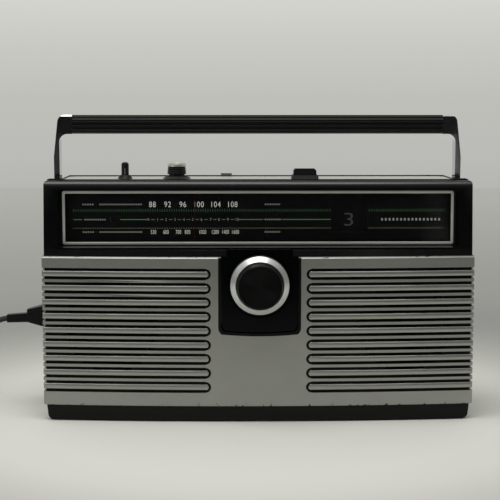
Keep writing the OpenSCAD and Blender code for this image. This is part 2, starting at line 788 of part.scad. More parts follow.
module selector_post() {
    color([0.05, 0.05, 0.05]) at_front() translate([selector_x, control_u, 0]) difference() {
        union() {
            translate([0, 0, body_h - 9]) cylinder(r = 3.6, h = 22.4);
            translate([0, 0, body_h + 13.4]) cylinder(r1 = 3.6, r2 = 2.2, h = 1.5);
        }
        translate([-4, -4, body_h + 3.4]) cube([8, 1, 6]);
        translate([0, 0, body_h - 10]) cylinder(r = 2, h = 7);
    }
}

module selector_switch() {
    color([0.55, 0.5, 0.35]) at_front() {
        translate([selector_x, control_u, body_h - 9.3]) mirror([0, 0, 1]) cylinder(r = 11, h = 9);
        translate([selector_x, control_u, body_h - 9.3]) cylinder(r = 1.95, h = 6);
        translate([selector_x, control_u, body_h - 9.3]) difference() {
            cylinder(r = 8, h = 9.3 - wall);
            translate([0, 0, -1]) cylinder(r = 3.9, h = 9);
        }
    }
}

module volume_knob() {
    color([0.04, 0.04, 0.04]) at_front() translate([volume_x, control_u, body_h + 2.1]) difference() {
        rotate_extrude() polygon([
            [0, 0], [7.6, 0], [7.6, 1.1], [9.2, 1.8], [9.2, 2.8], [8.6, 3.2], [8.6, 3.6], [9.05, 4], [9, 5],
            [8.45, 5.4], [8.45, 5.8], [8.85, 6.2], [8.8, 7.2], [8.3, 7.6], [8.3, 8], [8.65, 8.4], [8.5, 10.4],
            [8.1, 11.4], [7.4, 11.4], [6.8, 10.4], [0, 10.4]
        ]);
        translate([0, 0, -1]) cylinder(r = 3, h = 8);
    }
}

module volume_pot() {
    color([0.65, 0.6, 0.45]) at_front() translate([volume_x, control_u, 0]) {
        translate([0, 0, body_h - 17]) cylinder(r = 9, h = 10);
        translate([0, 0, body_h - 7]) cylinder(r = 4.6, h = 8.6);
        translate([0, 0, body_h - 7]) cylinder(r = 3 - run, h = 15.8);
    }
}

module program_button() {
    color([0.05, 0.05, 0.05]) at_front() {
        intersection() {
            block(program_x - 11, program_x + 11, control_u - 7, control_u + 7, body_h - 1.5, body_h + 8.6);
            along_y(control_u - 8, control_u + 8) polygon([
                [program_x - 11, body_h - 2], [program_x + 11, body_h - 2], [program_x + 11, body_h + 7],
                [program_x + 9.6, body_h + 8.6], [program_x - 9.6, body_h + 8.6], [program_x - 11, body_h + 7]
            ]);
        }
        translate([program_x, control_u, body_h - 12]) cylinder(r = 2.5, h = 11);
    }
}

module program_switch() {
    color([0.4, 0.4, 0.42]) at_front() difference() {
        union() {
            block(program_x - 8, program_x + 8, control_u - 6, control_u + 6, body_h - 26, body_h - 8);
            for (side = [-1, 1]) block(program_x + side * 13 - 2, program_x + side * 13 + 2,
                control_u - 5, control_u + 5, body_h - 26, body_h - wall);
            block(program_x - 14, program_x + 14, control_u - 5, control_u + 5, body_h - 26, body_h - 23);
        }
        translate([program_x, control_u, body_h - 12 - button_travel - 1]) cylinder(r = 2.5 + run, h = 12);
    }
}

// ---- Handle ----

// An arm from the front: straight to the bend, then leaning in to a round corner at the grip's block.
module arm_side() {
    fillet = 8;
    lean = 4.6;
    corner = 7;
    top = grip_z + grip_r;
    bend = grip_z - 31;
    edge = arm_out - lean * (top - corner - bend) / (top - bend);
    union() {
        polygon([
            [arm_in, pivot_z - 9], [arm_out, pivot_z - 9], [arm_out, bend], [edge, top - corner],
            [arm_in, top - corner]
        ]);
        square_span([grip_half, grip_z - grip_r], [edge - corner, top]);
        square_span([arm_in - 6, grip_z - grip_r], [arm_in + 1, top - corner]);
        translate([edge - corner, top - corner]) circle(r = corner);
        difference() {
            square_span([arm_in - fillet, grip_z - grip_r - fillet], [arm_in + 1, grip_z - grip_r + 0.5]);
            translate([arm_in - fillet, grip_z - grip_r - fillet]) circle(r = fillet);
        }
    }
}

module arm_front() {
    half = arm_w / 2;
    bevel = 1.2;
    wide = grip_r;
    union() {
        translate([handle_u, pivot_z]) circle(r = half);
        polygon([
            [handle_u - half, pivot_z], [handle_u + half, pivot_z],
            [handle_u + wide, grip_z - grip_r],
            [handle_u + wide, grip_z + grip_r - bevel], [handle_u + wide - bevel, grip_z + grip_r],
            [handle_u - wide + bevel, grip_z + grip_r], [handle_u - wide, grip_z + grip_r - bevel],
            [handle_u - wide, grip_z - grip_r]
        ]);
    }
}

module handle_arm_right() {
    color([0.75, 0.76, 0.78]) at_front() difference() {
        intersection() {
            along_y(handle_u - grip_r - 1, handle_u + grip_r + 1) arm_side();
            along_x(grip_half - 1, arm_out + 1) arm_front();
        }
        rod_x(handle_u, pivot_z, 3 + run, arm_in - 1, arm_out + 1);
    }
}

module handle_arm_left() {
    mirror([1, 0, 0]) handle_arm_right();
}

module handle_grip() {
    color([0.03, 0.03, 0.03]) at_front() difference() {
        rod_x(handle_u, grip_z, grip_r, -grip_half, grip_half);
        for (i = [0 : 15]) {
            a = i * 22.5 + 11.25;
            rod_x(handle_u + (grip_r + 0.5) * cos(a), grip_z + (grip_r + 0.5) * sin(a), 1.2,
                -grip_half + 3, grip_half - 3);
        }
    }
}

module handle_pivots() {
    color([0.7, 0.7, 0.72]) at_front() for (side = [-1, 1]) {
        rod_x(handle_u, pivot_z, 3,
            side > 0 ? boss_x : -arm_out - 0.3, side > 0 ? arm_out + 0.3 : -boss_x);
        rod_x(handle_u, pivot_z, 5.5,
            side > 0 ? arm_out + 0.3 : -arm_out - 2.8, side > 0 ? arm_out + 2.8 : -arm_out - 0.3);
    }
}

// ---- Rod antenna, lying along the back of the top ----

rod_r = [3.5, 2.8, 2.1, 1.4];
rod_step = 1.5;

// The step along the back of the top in which the rod lies; it is open to the back and at both ends.
module rod_trough() {
    block(-half_w - 1, half_w + 1, trough_u, body_d + 1, trough_z, body_h + 1);
}

module antenna_mount() {
    color([0.6, 0.6, 0.62]) at_front() {
        for (y = [rod_u - 4.4, rod_u + 2.4]) difference() {
            union() {
                block(mast_x - 3, mast_x + 3, y, y + 2, trough_z, rod_z);
                rod_y(mast_x, rod_z, 3, y, y + 2);
            }
            rod_y(mast_x, rod_z, 1 + run, y - 1, y + 3);
        }
        rod_y(mast_x, rod_z, 1, rod_u - 4.4, rod_u + 4.4);
        block(mast_x - 8, mast_x + 8, rod_u - 4.4, rod_u + 4.4, trough_z, trough_z + 1.2);
    }
}

module antenna_rod_1() {
    color([0.8, 0.8, 0.82]) at_front() difference() {
        union() {
            rod_x(rod_u, rod_z, rod_r[0], mast_x - rod_len + 3 * rod_step, mast_x - 5);
            block(mast_x - 9, mast_x, rod_u - 2, rod_u + 2, rod_z - 3, rod_z + 3);
            rod_y(mast_x, rod_z, 3, rod_u - 2, rod_u + 2);
        }
        rod_x(rod_u, rod_z, rod_r[1] + run, mast_x - rod_len, mast_x - 12);
        rod_y(mast_x, rod_z, 1 + run, rod_u - 3, rod_u + 3);
    }
}

module antenna_section(i) {
    color([0.8, 0.8, 0.82]) at_front() difference() {
        rod_x(rod_u, rod_z, rod_r[i], mast_x - rod_len + (3 - i) * rod_step, mast_x - 13);
        if (i < 3) rod_x(rod_u, rod_z, rod_r[i + 1] + run, mast_x - rod_len, mast_x - 13 + 1);
    }
}

module antenna_rod_2() {
    antenna_section(1);
}

module antenna_rod_3() {
    antenna_section(2);
}

module antenna_rod_4() {
    antenna_section(3);
    color([0.8, 0.8, 0.82]) at_front() rod_x(rod_u, rod_z, 4.7, mast_x - rod_len - 11, mast_x - rod_len);
}

// ---- Speakers ----

module speaker(x) {
    u0 = baffle_u + wall;
    color([0.25, 0.25, 0.26]) at_front() {
        difference() {
            along_y(u0, u0 + 2) rounded([x - speaker_frame / 2, speaker_z - speaker_frame / 2],
                [x + speaker_frame / 2, speaker_z + speaker_frame / 2], 12);
            rod_y(x, speaker_z, speaker_r + 1, u0 - 1, u0 + 3);
            for (a = [45 : 90 : 315]) rod_y(x + 62 * cos(a), speaker_z + 62 * sin(a), 2, u0 - 1, u0 + 3);
        }
        turned_y(x, u0, speaker_z) polygon([
            [speaker_r - 1, 0], [speaker_r + 1, 0], [speaker_r + 1, 2], [30, 22], [30, 36], [0, 36],
            [0, 16], [9, 18], [11, 17], [speaker_r - 8, 3], [speaker_r - 5, 1.2], [speaker_r - 2, 3]
        ]);
    }
}

module speaker_left() {
    speaker(-speaker_x);
}

module speaker_right() {
    speaker(speaker_x);
}

// ---- Inside: board, aerial, transformer, batteries, inlet ----

board_u = battery_u - 7;

module main_board() {
    left = battery_left + 16;
    right = battery_right - 20;
    top = body_h - 34;
    can_pitch = 30;
    chip_pitch = 26;
    color([0.35, 0.25, 0.12]) at_front() {
        block(left, right, board_u, board_u + 1.6, battery_high + 6, top);
        for (x = [left + 10, right - 10])
            block(x - 3, x + 3, board_u + 1.6, body_d - wall, top - 16, top - 10);
        for (i = [0 : 4])
            rod_y(left + 40 + i * can_pitch, battery_high + 27 + 12 * (i % 2), 7, board_u - 16, board_u);
        for (i = [0 : 5]) translate([left + 30 + i * chip_pitch, 0, 0])
            block(0, 12, board_u - 6, board_u, top - 36, top - 24);
    }
}

module ferrite_rod() {
    u = body_d - 24;
    z = body_h - 17;
    left = -half_w + 50;
    right = left + 160;
    color([0.15, 0.14, 0.14]) at_front() {
        rod_x(u, z, 5, left, right);
        for (x = [left + 10, right - 18]) block(x, x + 6, u - 7, u + 7, z - 7, body_h - wall);
        rod_x(u, z, 7, left + 90, left + 120);
    }
}

module power_transformer() {
    x = battery_left + 22;
    low = battery_high + 10;
    color([0.3, 0.3, 0.32]) at_front() {
        block(x - 22, x + 22, battery_u + 2, body_d - wall, low, low + 36);
        block(x - 15, x + 15, battery_u - 3, body_d - wall - 2, low + 7, low + 29);
    }
}

module battery_box() {
    color([0.07, 0.07, 0.07]) at_front() difference() {
        block(battery_left, battery_right, battery_u, body_d - wall, battery_low, battery_high);
        block(battery_left + 2, battery_right - 2, battery_u + 2, body_d, battery_low + 2, battery_high - 2);
    }
}

// The lid turns on a round barrel along its lower edge, with a pin at each end.
module battery_lid() {
    barrel_r = body_d - lid_u;
    left = battery_left + 3.4;
    right = battery_right - 3.4;
    color([0.06, 0.06, 0.06]) at_front() {
        difference() {
            block(left, right, lid_u - barrel_r, body_d, lid_z, battery_high - 2.4);
            for (x = [battery_left + 40, battery_right - 40], i = [0 : 3])
                block(x - 12, x + 12, body_d - 0.8, body_d + 1,
                    battery_high - 12 + i * 2, battery_high - 11 + i * 2);
        }
        rod_x(lid_u, lid_z, barrel_r, left, right);
        rod_x(lid_u, lid_z, 0.8, left - 2, right + 2);
    }
}

module ac_inlet() {
    color([0.05, 0.05, 0.05]) at_front() {
        difference() {
            along_x(-half_w + 0.5, -half_w + 22) square_span(
                [inlet_u - 10, inlet_z - 11], [inlet_u + 10, inlet_z + 11]);
            along_x(-half_w - 1, -half_w + 18) square_span(
                [inlet_u - 7.2, inlet_z - 7.2], [inlet_u + 7.2, inlet_z + 7.2]);
        }
        for (z = [-4, 4]) rod_x(inlet_u, inlet_z + z, 1.2, -half_w + 6, -half_w + 19);
    }
}

// ---- Cartridge bay and tape drive ----

module cartridge_bay() {
    t = 1.5;
    color([0.6, 0.6, 0.6]) at_front() difference() {
        block(bay_in, half_w - 15, slot_u - 1 - t, bay_back + t,
            slot_z - slot_h / 2 - t, slot_z + slot_h / 2 + t);
        block(bay_in - 1, half_w, slot_u - 1, bay_back,
            slot_z - slot_h / 2, slot_z + slot_h / 2);
    }
}

module cartridge_door() {
    u0 = slot_u + 2 * clear;
    u1 = slot_u + slot_w;
    z0 = slot_z - slot_h / 2 + clear;
    z1 = slot_z + slot_h / 2 - clear;
    color([0.05, 0.05, 0.05]) at_front() difference() {
        union() {
            block(half_w - 2.5, half_w - 0.5, u0, u1, z0, z1);
            for (z = [z0, z1 - 10]) {
                block(half_w - 3.4, half_w - 2, u1 - 4, u1 - 0.6, z, z + 10);
                block(door_axis_x - 2.2, door_axis_x + 2.2, u1 - 4, door_axis_u, z, z + 10);
                translate([door_axis_x, door_axis_u, z]) cylinder(r = 2.2, h = 10);
            }
        }
        translate([door_axis_x, door_axis_u, z0 - 1]) cylinder(r = 1 + run, h = slot_h + 2);
    }
}

module door_pin() {
    color([0.75, 0.75, 0.76]) at_front()
        translate([door_axis_x, door_axis_u, slot_z - slot_h / 2 - 4.6]) cylinder(r = 1, h = slot_h + 9.2);
}

module deck_plate() {
    color([0.62, 0.62, 0.6]) at_front() difference() {
        union() {
            block(motor_x - 20, half_w - 15, deck_u, deck_u + 1.5,
                slot_z - slot_h / 2 - 4, slot_z + slot_h / 2 + 4);
            rod_y(capstan_x, capstan_z, 4, deck_u - 6, deck_u);
            for (z = [slot_z - 50, slot_z + 42])
                block(half_w - 22, half_w - 16, deck_u + 1.5, body_d - wall, z, z + 6);
            rod_y(cam_x, cam_z, 2, slot_u + 12.4 + head_travel, deck_u);
            for (z = guide_z) rod_y(bay_in - 12, z, 1.5, slot_u + 6, deck_u);
        }
        rod_y(capstan_x, capstan_z, 2 + run, deck_u - 7, deck_u + 3);
        rod_y(motor_x, motor_z, 4, deck_u - 1, deck_u + 3);
    }
}

head_travel = 2.4;
cam_x = bay_in - 22;
cam_z = slot_z;
guide_z = [slot_z - 7, slot_z + 7];

module capstan_flywheel() {
    color([0.72, 0.7, 0.6]) at_front() {
        rod_y(capstan_x, capstan_z, 2, slot_u + 2, deck_u + 3);
        turned_y(capstan_x, deck_u + 2.5, capstan_z) polygon([
            [0, 0], [8, 0], [8, 1.5], [wheel_r - 7, 1.5], [wheel_r - 7, 0], [wheel_r + 1, 0],
            [wheel_r + 1, 1], [wheel_r, 1.8], [wheel_r, 5.2], [wheel_r + 1, 6], [wheel_r + 1, 7],
            [0, 7]
        ]);
    }
}

module drive_motor() {
    color([0.65, 0.66, 0.68]) at_front() {
        rod_y(motor_x, motor_z, 17, deck_u - 30, deck_u);
        rod_y(motor_x, motor_z, 3.8, deck_u, deck_u + 1.5);
        rod_y(motor_x, motor_z, 1, deck_u, deck_u + 10);
    }
}

module motor_pulley() {
    color([0.75, 0.62, 0.3]) at_front() turned_y(motor_x, deck_u + 2.5, motor_z) polygon([
        [1 + run, 0], [motor_pulley_r + 1, 0], [motor_pulley_r + 1, 1], [motor_pulley_r, 1.8],
        [motor_pulley_r, 5.2], [motor_pulley_r + 1, 6], [motor_pulley_r + 1, 7], [1 + run, 7]
    ]);
}

// A closed loop round two pulleys, drawn in x and z, with its arcs in short steps.
module belt_outline(a, ra, b, rb) {
    t = tangent_angle(a, ra, b, rb);
    line = atan2(b.y - a.y, b.x - a.x);
    wrap = 360 - 2 * (t - line);
    steps = 40;
    polygon([
        for (i = [0 : steps]) on_circle(a, ra, t + wrap * i / steps),
        for (i = [0 : steps]) on_circle(b, rb, 2 * line - t + (360 - wrap) * i / steps)
    ]);
}

module drive_belt() {
    wheel = [capstan_x, capstan_z];
    pulley = [motor_x, motor_z];
    gap = 0.1;
    thick = 1;
    color([0.08, 0.08, 0.08]) at_front() along_y(deck_u + 4.6, deck_u + 7.4) difference() {
        belt_outline(wheel, wheel_r + gap + thick, pulley, motor_pulley_r + gap + thick);
        belt_outline(wheel, wheel_r + gap, pulley, motor_pulley_r + gap);
    }
}

module tape_head() {
    color([0.7, 0.7, 0.74]) at_front() difference() {
        union() {
            block(bay_in - 6, bay_in + 3, slot_u + 6, slot_u + 14, slot_z - 6, slot_z + 6);
            block(cam_x - 4, bay_in - 6, slot_u + 8, slot_u + 12, slot_z - 4, slot_z + 4);
            block(bay_in - 15, bay_in - 9, slot_u + 8, slot_u + 12, slot_z - 10, slot_z + 10);
        }
        for (z = guide_z) rod_y(bay_in - 12, z, 1.5 + run, slot_u, slot_u + 20);
    }
}

module program_cam() {
    color([0.9, 0.9, 0.85]) at_front() difference() {
        rod_y(cam_x, cam_z, 9, slot_u + 12.4 + head_travel, slot_u + 17 + head_travel);
        rod_y(cam_x, cam_z, 2 + run, slot_u, slot_u + 30);
    }
}

// ---- Mains cord ----

module ac_connector() {
    color([0.04, 0.04, 0.04]) at_front() {
        difference() {
            along_x(-half_w - 0.2, -half_w + 14) square_span(
                [inlet_u - 7, inlet_z - 7], [inlet_u + 7, inlet_z + 7]);
            for (z = [-4, 4]) rod_x(inlet_u, inlet_z + z, 1.2 + run, -half_w + 5, -half_w + 15);
        }
        difference() {
            intersection() {
                along_y(inlet_u - 8, inlet_u + 8) polygon([
                    [-half_w, inlet_z - 9.7], [-half_w, inlet_z + 9.7], [-half_w - 13, inlet_z + 9.7],
                    [-half_w - 27, inlet_z + 6.2], [-half_w - 27, inlet_z - 6.2], [-half_w - 13, inlet_z - 9.7]
                ]);
                translate([0, 0, inlet_z - 10]) linear_extrude(20) polygon([
                    [-half_w, inlet_u - 8], [-half_w, inlet_u + 8], [-half_w - 13, inlet_u + 8],
                    [-half_w - 27, inlet_u + 5], [-half_w - 27, inlet_u - 5], [-half_w - 13, inlet_u - 8]
                ]);
            }
            for (i = [0 : 4]) {
                x = -half_w - 12 - i * 3;
                block(x - 0.6, x + 0.6, inlet_u - 9, inlet_u - 7.4 + i * 0.6, inlet_z - 11, inlet_z + 11);
            }
        }
        along_y(inlet_u - 4, inlet_u + 4) polygon([
            [-half_w - 26.5, inlet_z - 6.4], [-half_w - 26.5, inlet_z + 2.4],
            [-half_w - 47, inlet_z + 0.8], [-half_w - 47, inlet_z - 6.8]
        ]);
    }
}

// Ring of the flat cord at a point of its route, square to the direction there.
function cord_ring(p, dir) = let (
        side = unit(cross(dir, [0, 0, 1])),
        up = cross(side, dir))
    [for (i = [0 : 7]) p + side * (cord_t / 2) * cos(i * 45 + 22.5) + up * (cord_w / 2) * sin(i * 45 + 22.5)];
function unit(v) = v / norm(v);
// Point of a smooth curve through the route, t from 0 to 1 between points i and i + 1.
function route_point(i, t) = let (
        n = len(cord_route) - 1,
        a = cord_route[max(i - 1, 0)], b = cord_route[i],
        c = cord_route[min(i + 1, n)], d = cord_route[min(i + 2, n)])
    0.5 * (2 * b + (c - a) * t + (2 * a - 5 * b + 4 * c - d) * t * t + (3 * b - a - 3 * c + d) * t * t * t);

module power_cord() {
    line = [for (i = [0 : len(cord_route) - 2], t = [0, 0.5]) route_point(i, t), cord_route[len(cord_route) - 1]];
    n = len(line);
    rings = [for (i = [0 : n - 1]) cord_ring(line[i], unit(line[min(i + 1, n - 1)] - line[max(i - 1, 0)]))];
    points = [for (ring = rings) for (p = ring) p];
    color([0.04, 0.04, 0.04]) at_front() polyhedron(points, concat(
        [[for (i = [0 : 7]) i]],
        [for (k = [0 : n - 2], i = [0 : 7]) let (j = (i + 1) % 8)
            [k * 8 + i, (k + 1) * 8 + i, (k + 1) * 8 + j, k * 8 + j]],
        [[for (i = [7 : -1 : 0]) (n - 1) * 8 + i]]
    ));
}

module cord_coil() {
    color([0.04, 0.04, 0.04]) at_front() translate([coil_at.x, coil_at.y, 0]) rotate_extrude()
        translate([coil_r - 2 * cord_w, 0]) square([4 * cord_w, 2 * cord_w]);
}

module mains_plug() {
    x = plug_at.x;
    u = plug_at.y;
    color([0.04, 0.04, 0.04]) at_front() {
        translate([x, coil_at.y + 20, 7]) rotate([-90, 0, 0]) cylinder(r1 = 3, r2 = 6, h = u - coil_at.y - 7);
        along_y(u + 12, u + 36) rounded([x - 12.5, 0], [x + 12.5, 14], 4);
        for (side = [-1, 1]) block(x + side * 6.35 - 0.75, x + side * 6.35 + 0.75, u + 35, u + 52, 3.8, 10.2);
    }
}

front_frame();
grille_panel();
escutcheon();
dial_bezel();
dial_glass();
dial_plate();
dial_pointer();
pointer_rail();
dial_cord();
cord_pulley_left();
cord_pulley_right();
tuning_chassis();
tuning_drum();
tuning_capacitor();
tuning_shaft();
tuning_knob_ring();
tuning_knob_cap();
program_display();
rear_cabinet();
base_pan();
feet();
top_plate();
control_collars();
selector_post();
selector_switch();
volume_knob();
volume_pot();
program_button();
program_switch();
handle_arm_left();
handle_arm_right();
handle_grip();
handle_pivots();
antenna_mount();
antenna_rod_1();
antenna_rod_2();
antenna_rod_3();
antenna_rod_4();
speaker_left();
speaker_right();
main_board();
ferrite_rod();
power_transformer();
battery_box();
battery_lid();
ac_inlet();
cartridge_bay();
cartridge_door();
door_pin();
deck_plate();
capstan_flywheel();
drive_motor();
motor_pulley();
drive_belt();
tape_head();
program_cam();
ac_connector();
power_cord();
cord_coil();
mains_plug();
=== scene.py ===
"""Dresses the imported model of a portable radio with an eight-track cartridge player.

Lengths are written in millimetres as x (to the right), u (depth behind the front of the plinth)
and z (height over the table). at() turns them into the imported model's metres.
"""

import logging
import math
from collections.abc import Callable, Sequence
from dataclasses import dataclass
from enum import Enum

import bmesh
import bpy
from mathutils import Matrix, Vector


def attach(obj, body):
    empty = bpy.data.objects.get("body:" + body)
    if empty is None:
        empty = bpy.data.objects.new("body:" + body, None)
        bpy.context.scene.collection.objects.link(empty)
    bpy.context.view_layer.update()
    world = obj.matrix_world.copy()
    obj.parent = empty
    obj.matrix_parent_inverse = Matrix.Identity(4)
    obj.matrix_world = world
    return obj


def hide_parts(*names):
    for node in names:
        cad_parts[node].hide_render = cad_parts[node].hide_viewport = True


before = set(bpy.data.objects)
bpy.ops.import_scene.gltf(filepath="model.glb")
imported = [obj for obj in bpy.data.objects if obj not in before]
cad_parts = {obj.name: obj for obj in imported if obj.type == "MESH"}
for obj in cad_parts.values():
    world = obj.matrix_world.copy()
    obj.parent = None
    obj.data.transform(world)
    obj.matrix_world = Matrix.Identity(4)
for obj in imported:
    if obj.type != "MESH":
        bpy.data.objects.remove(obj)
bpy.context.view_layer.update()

LOG = logging.getLogger("player")
MM = 0.001
FRONT_Y = -43.5  # the plinth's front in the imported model, in millimetres
Span = tuple[float, float]
Point = tuple[float, float, float]
Loop = Sequence[Span]
Piece = bpy.types.Object
Tree = bpy.types.NodeTree
Node = bpy.types.Node
Socket = bpy.types.NodeSocket
Link = Node | Socket  # a node stands for its first output


class Body(Enum):
    """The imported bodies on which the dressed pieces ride."""

    CABINET = "cabinet"
    HANDLE = "handle"
    SELECTOR = "selector"
    VOLUME = "volume"


def at(x: float, u: float, z: float) -> Vector:
    """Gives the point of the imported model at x, u, z in millimetres."""
    return Vector((x, u + FRONT_Y, z)) * MM


def linear(hex_code: str) -> tuple[float, float, float, float]:
    """Turns an sRGB hex colour into linear values.

    Args:
        hex_code: the colour, such as "#8d8e88".

    Returns:
        Red, green, blue and an alpha of 1.
    """
    parts = [int(hex_code[i : i + 2], 16) / 255 for i in (1, 3, 5)]
    low = [p / 12.92 if p <= 0.04045 else ((p + 0.055) / 1.055) ** 2.4 for p in parts]
    return low[0], low[1], low[2], 1.0


def add(tree: Tree, kind: str, links: dict | None = None, **settings: str) -> Node:
    """Adds one node to a tree.

    Args:
        tree: the node tree that gets it.
        kind: the node's type name.
        links: what each input gets, by name or number: a node, a socket or a value.
        settings: properties of the node.

    Returns:
        The new node.
    """
    node = tree.nodes.new(kind)
    for name, value in settings.items():
        setattr(node, name, value)
    for key, value in (links or {}).items():
        if isinstance(value, Node):
            value = value.outputs[0]
        if isinstance(value, Socket):
            tree.links.new(value, node.inputs[key])
        else:
            node.inputs[key].default_value = value
    return node


def bare_tree(owner: bpy.types.Material | bpy.types.World) -> Tree:
    """Clears the node tree of a material or a world.

    Args:
        owner: the material or world.

    Returns:
        Its empty tree.
    """
    owner.use_nodes = True
    owner.node_tree.nodes.clear()
    return owner.node_tree


# ---- Finishes ----

DUST = "#a8a59c"
MOTE_MM = 1.6  # size of the dust's specks
SHEEN = 0.5  # a plain surface's specular level
SCUFFED_FROM_Z = 210.0  # a matt top is scuffed from this height up


@dataclass(frozen=True)
class Finish:
    """A solid finish with a fine grain, a little colour variation and dust on what faces up."""

    name: str
    colour: str
    roughness: float = 0.5
    metallic: float = 0.0
    ior: float = 1.5
    alpha: float = 1.0
    shade: float = 0.12  # how much darker the broad patches are
    patch_mm: float = 30.0
    grain_mm: float = 0.6
    grain_depth_mm: float = 0.01
    uneven: float = 0.06  # how far the roughness wanders
    dust: float = 0.0
    stretch: Point = (1.0, 1.0, 1.0)  # brushing squeezes the grain along an axis
    # painted light: the finish glows, though it is no lamp
    glow: float = 0.0
    matt_top: bool = False  # handled tops are scuffed: they lose their sheen

    def pattern(self, tree: Tree, size_mm: float, detail: float = 2.0) -> Socket:
        """Adds a noise of one size over the piece.

        Args:
            tree: the material's node tree.
            size_mm: size of the noise's patches.
            detail: how much finer noise lies in them.

        Returns:
            The noise's value.
        """
        place = add(tree, "ShaderNodeTexCoord").outputs["Object"]
        squeezed = add(tree, "ShaderNodeMapping", {"Vector": place, "Scale": self.stretch})
        noise = {"Vector": squeezed, "Scale": 1 / (size_mm * MM), "Detail": detail}
        return add(tree, "ShaderNodeTexNoise", noise).outputs["Fac"]

    @staticmethod
    def upward(tree: Tree) -> Socket:
        """Gives how far the shaded face looks up: 1 when it lies level."""
        normal = add(tree, "ShaderNodeNewGeometry").outputs["Normal"]
        return add(tree, "ShaderNodeSeparateXYZ", {0: normal}).outputs["Z"]

    def base(self, tree: Tree) -> Socket:
        """Adds the colour: the base, darker in broad patches, with dust on top.

        Args:
            tree: the material's node tree.

        Returns:
            The colour.
        """
        dark, bright = (
            tuple(min(1.0, c * share) for c in linear(self.colour)[:3]) + (1.0,)
            for share in (1 - self.shade, 1 + self.shade / 2))
        patches = self.pattern(tree, self.patch_mm)
        colour = add(tree, "ShaderNodeMix", {0: patches, 6: dark, 7: bright}, data_type="RGBA").outputs[2]
        if not self.dust:
            return colour
        lying = add(tree, "ShaderNodeMapRange", {
            "Value": self.upward(tree), "From Min": 0.6, "From Max": 1.0, "To Max": self.dust})
        motes = add(tree, "ShaderNodeMapRange", {
            "Value": self.pattern(tree, MOTE_MM, 4.0), "From Min": 0.42, "From Max": 0.72})
        amount = add(tree, "ShaderNodeMath", {0: lying, 1: motes}, operation="MULTIPLY")
        return add(tree, "ShaderNodeMix", {0: amount, 6: colour, 7: linear(DUST)}, data_type="RGBA").outputs[2]

    def wear(self, tree: Tree, colour: Link, rough: Link) -> tuple[Link, Link]:
        """Gives colour and roughness as they are; finishes with marks or painted shade change them."""
        return colour, rough

    def relief(self, tree: Tree) -> Link:
        """Adds the grain and gives its height from 0 to 1."""
        return self.pattern(tree, self.grain_mm, 3.0)

    def material(self) -> bpy.types.Material:
        """Makes the finish's material on the first call.

        Returns:
            The material.
        """
        known = bpy.data.materials.get(self.name)
        if known:
            return known
        made = bpy.data.materials.new(self.name)
        tree = bare_tree(made)
        rough = add(tree, "ShaderNodeMapRange", {
            "Value": self.pattern(tree, self.patch_mm / 3, 4.0),
            "To Min": max(0.02, self.roughness - self.uneven), "To Max": min(1.0, self.roughness + self.uneven)})
        colour, rough = self.wear(tree, self.base(tree), rough)
        normal = add(tree, "ShaderNodeBump", {
            "Height": self.relief(tree), "Distance": self.grain_depth_mm * MM, "Strength": 1.0})
        inputs = {"Base Color": colour, "Roughness": rough, "Metallic": self.metallic, "IOR": self.ior,
                  "Alpha": self.alpha, "Normal": normal}
        if self.matt_top:
            sheen = add(tree, "ShaderNodeMapRange", {
                "Value": self.upward(tree), "From Min": 0.97, "From Max": 0.99, "To Min": SHEEN, "To Max": 0.0})
            place = add(tree, "ShaderNodeTexCoord").outputs["Object"]
            height = add(tree, "ShaderNodeSeparateXYZ", {0: place}).outputs["Z"]
            low = add(tree, "ShaderNodeMath", {0: height, 1: SCUFFED_FROM_Z * MM}, operation="LESS_THAN")
            plain = add(tree, "ShaderNodeMath", {0: low, 1: SHEEN}, operation="MULTIPLY")
            inputs["Specular IOR Level"] = add(tree, "ShaderNodeMath", {0: sheen, 1: plain}, operation="MAXIMUM")
        # Painted glow: the finish gives off its own colour, though it is no lamp.
        if self.glow:
            inputs |= {"Emission Color": linear(self.colour), "Emission Strength": self.glow}
        add(tree, "ShaderNodeOutputMaterial", {"Surface": add(tree, "ShaderNodeBsdfPrincipled", inputs)})
        return made


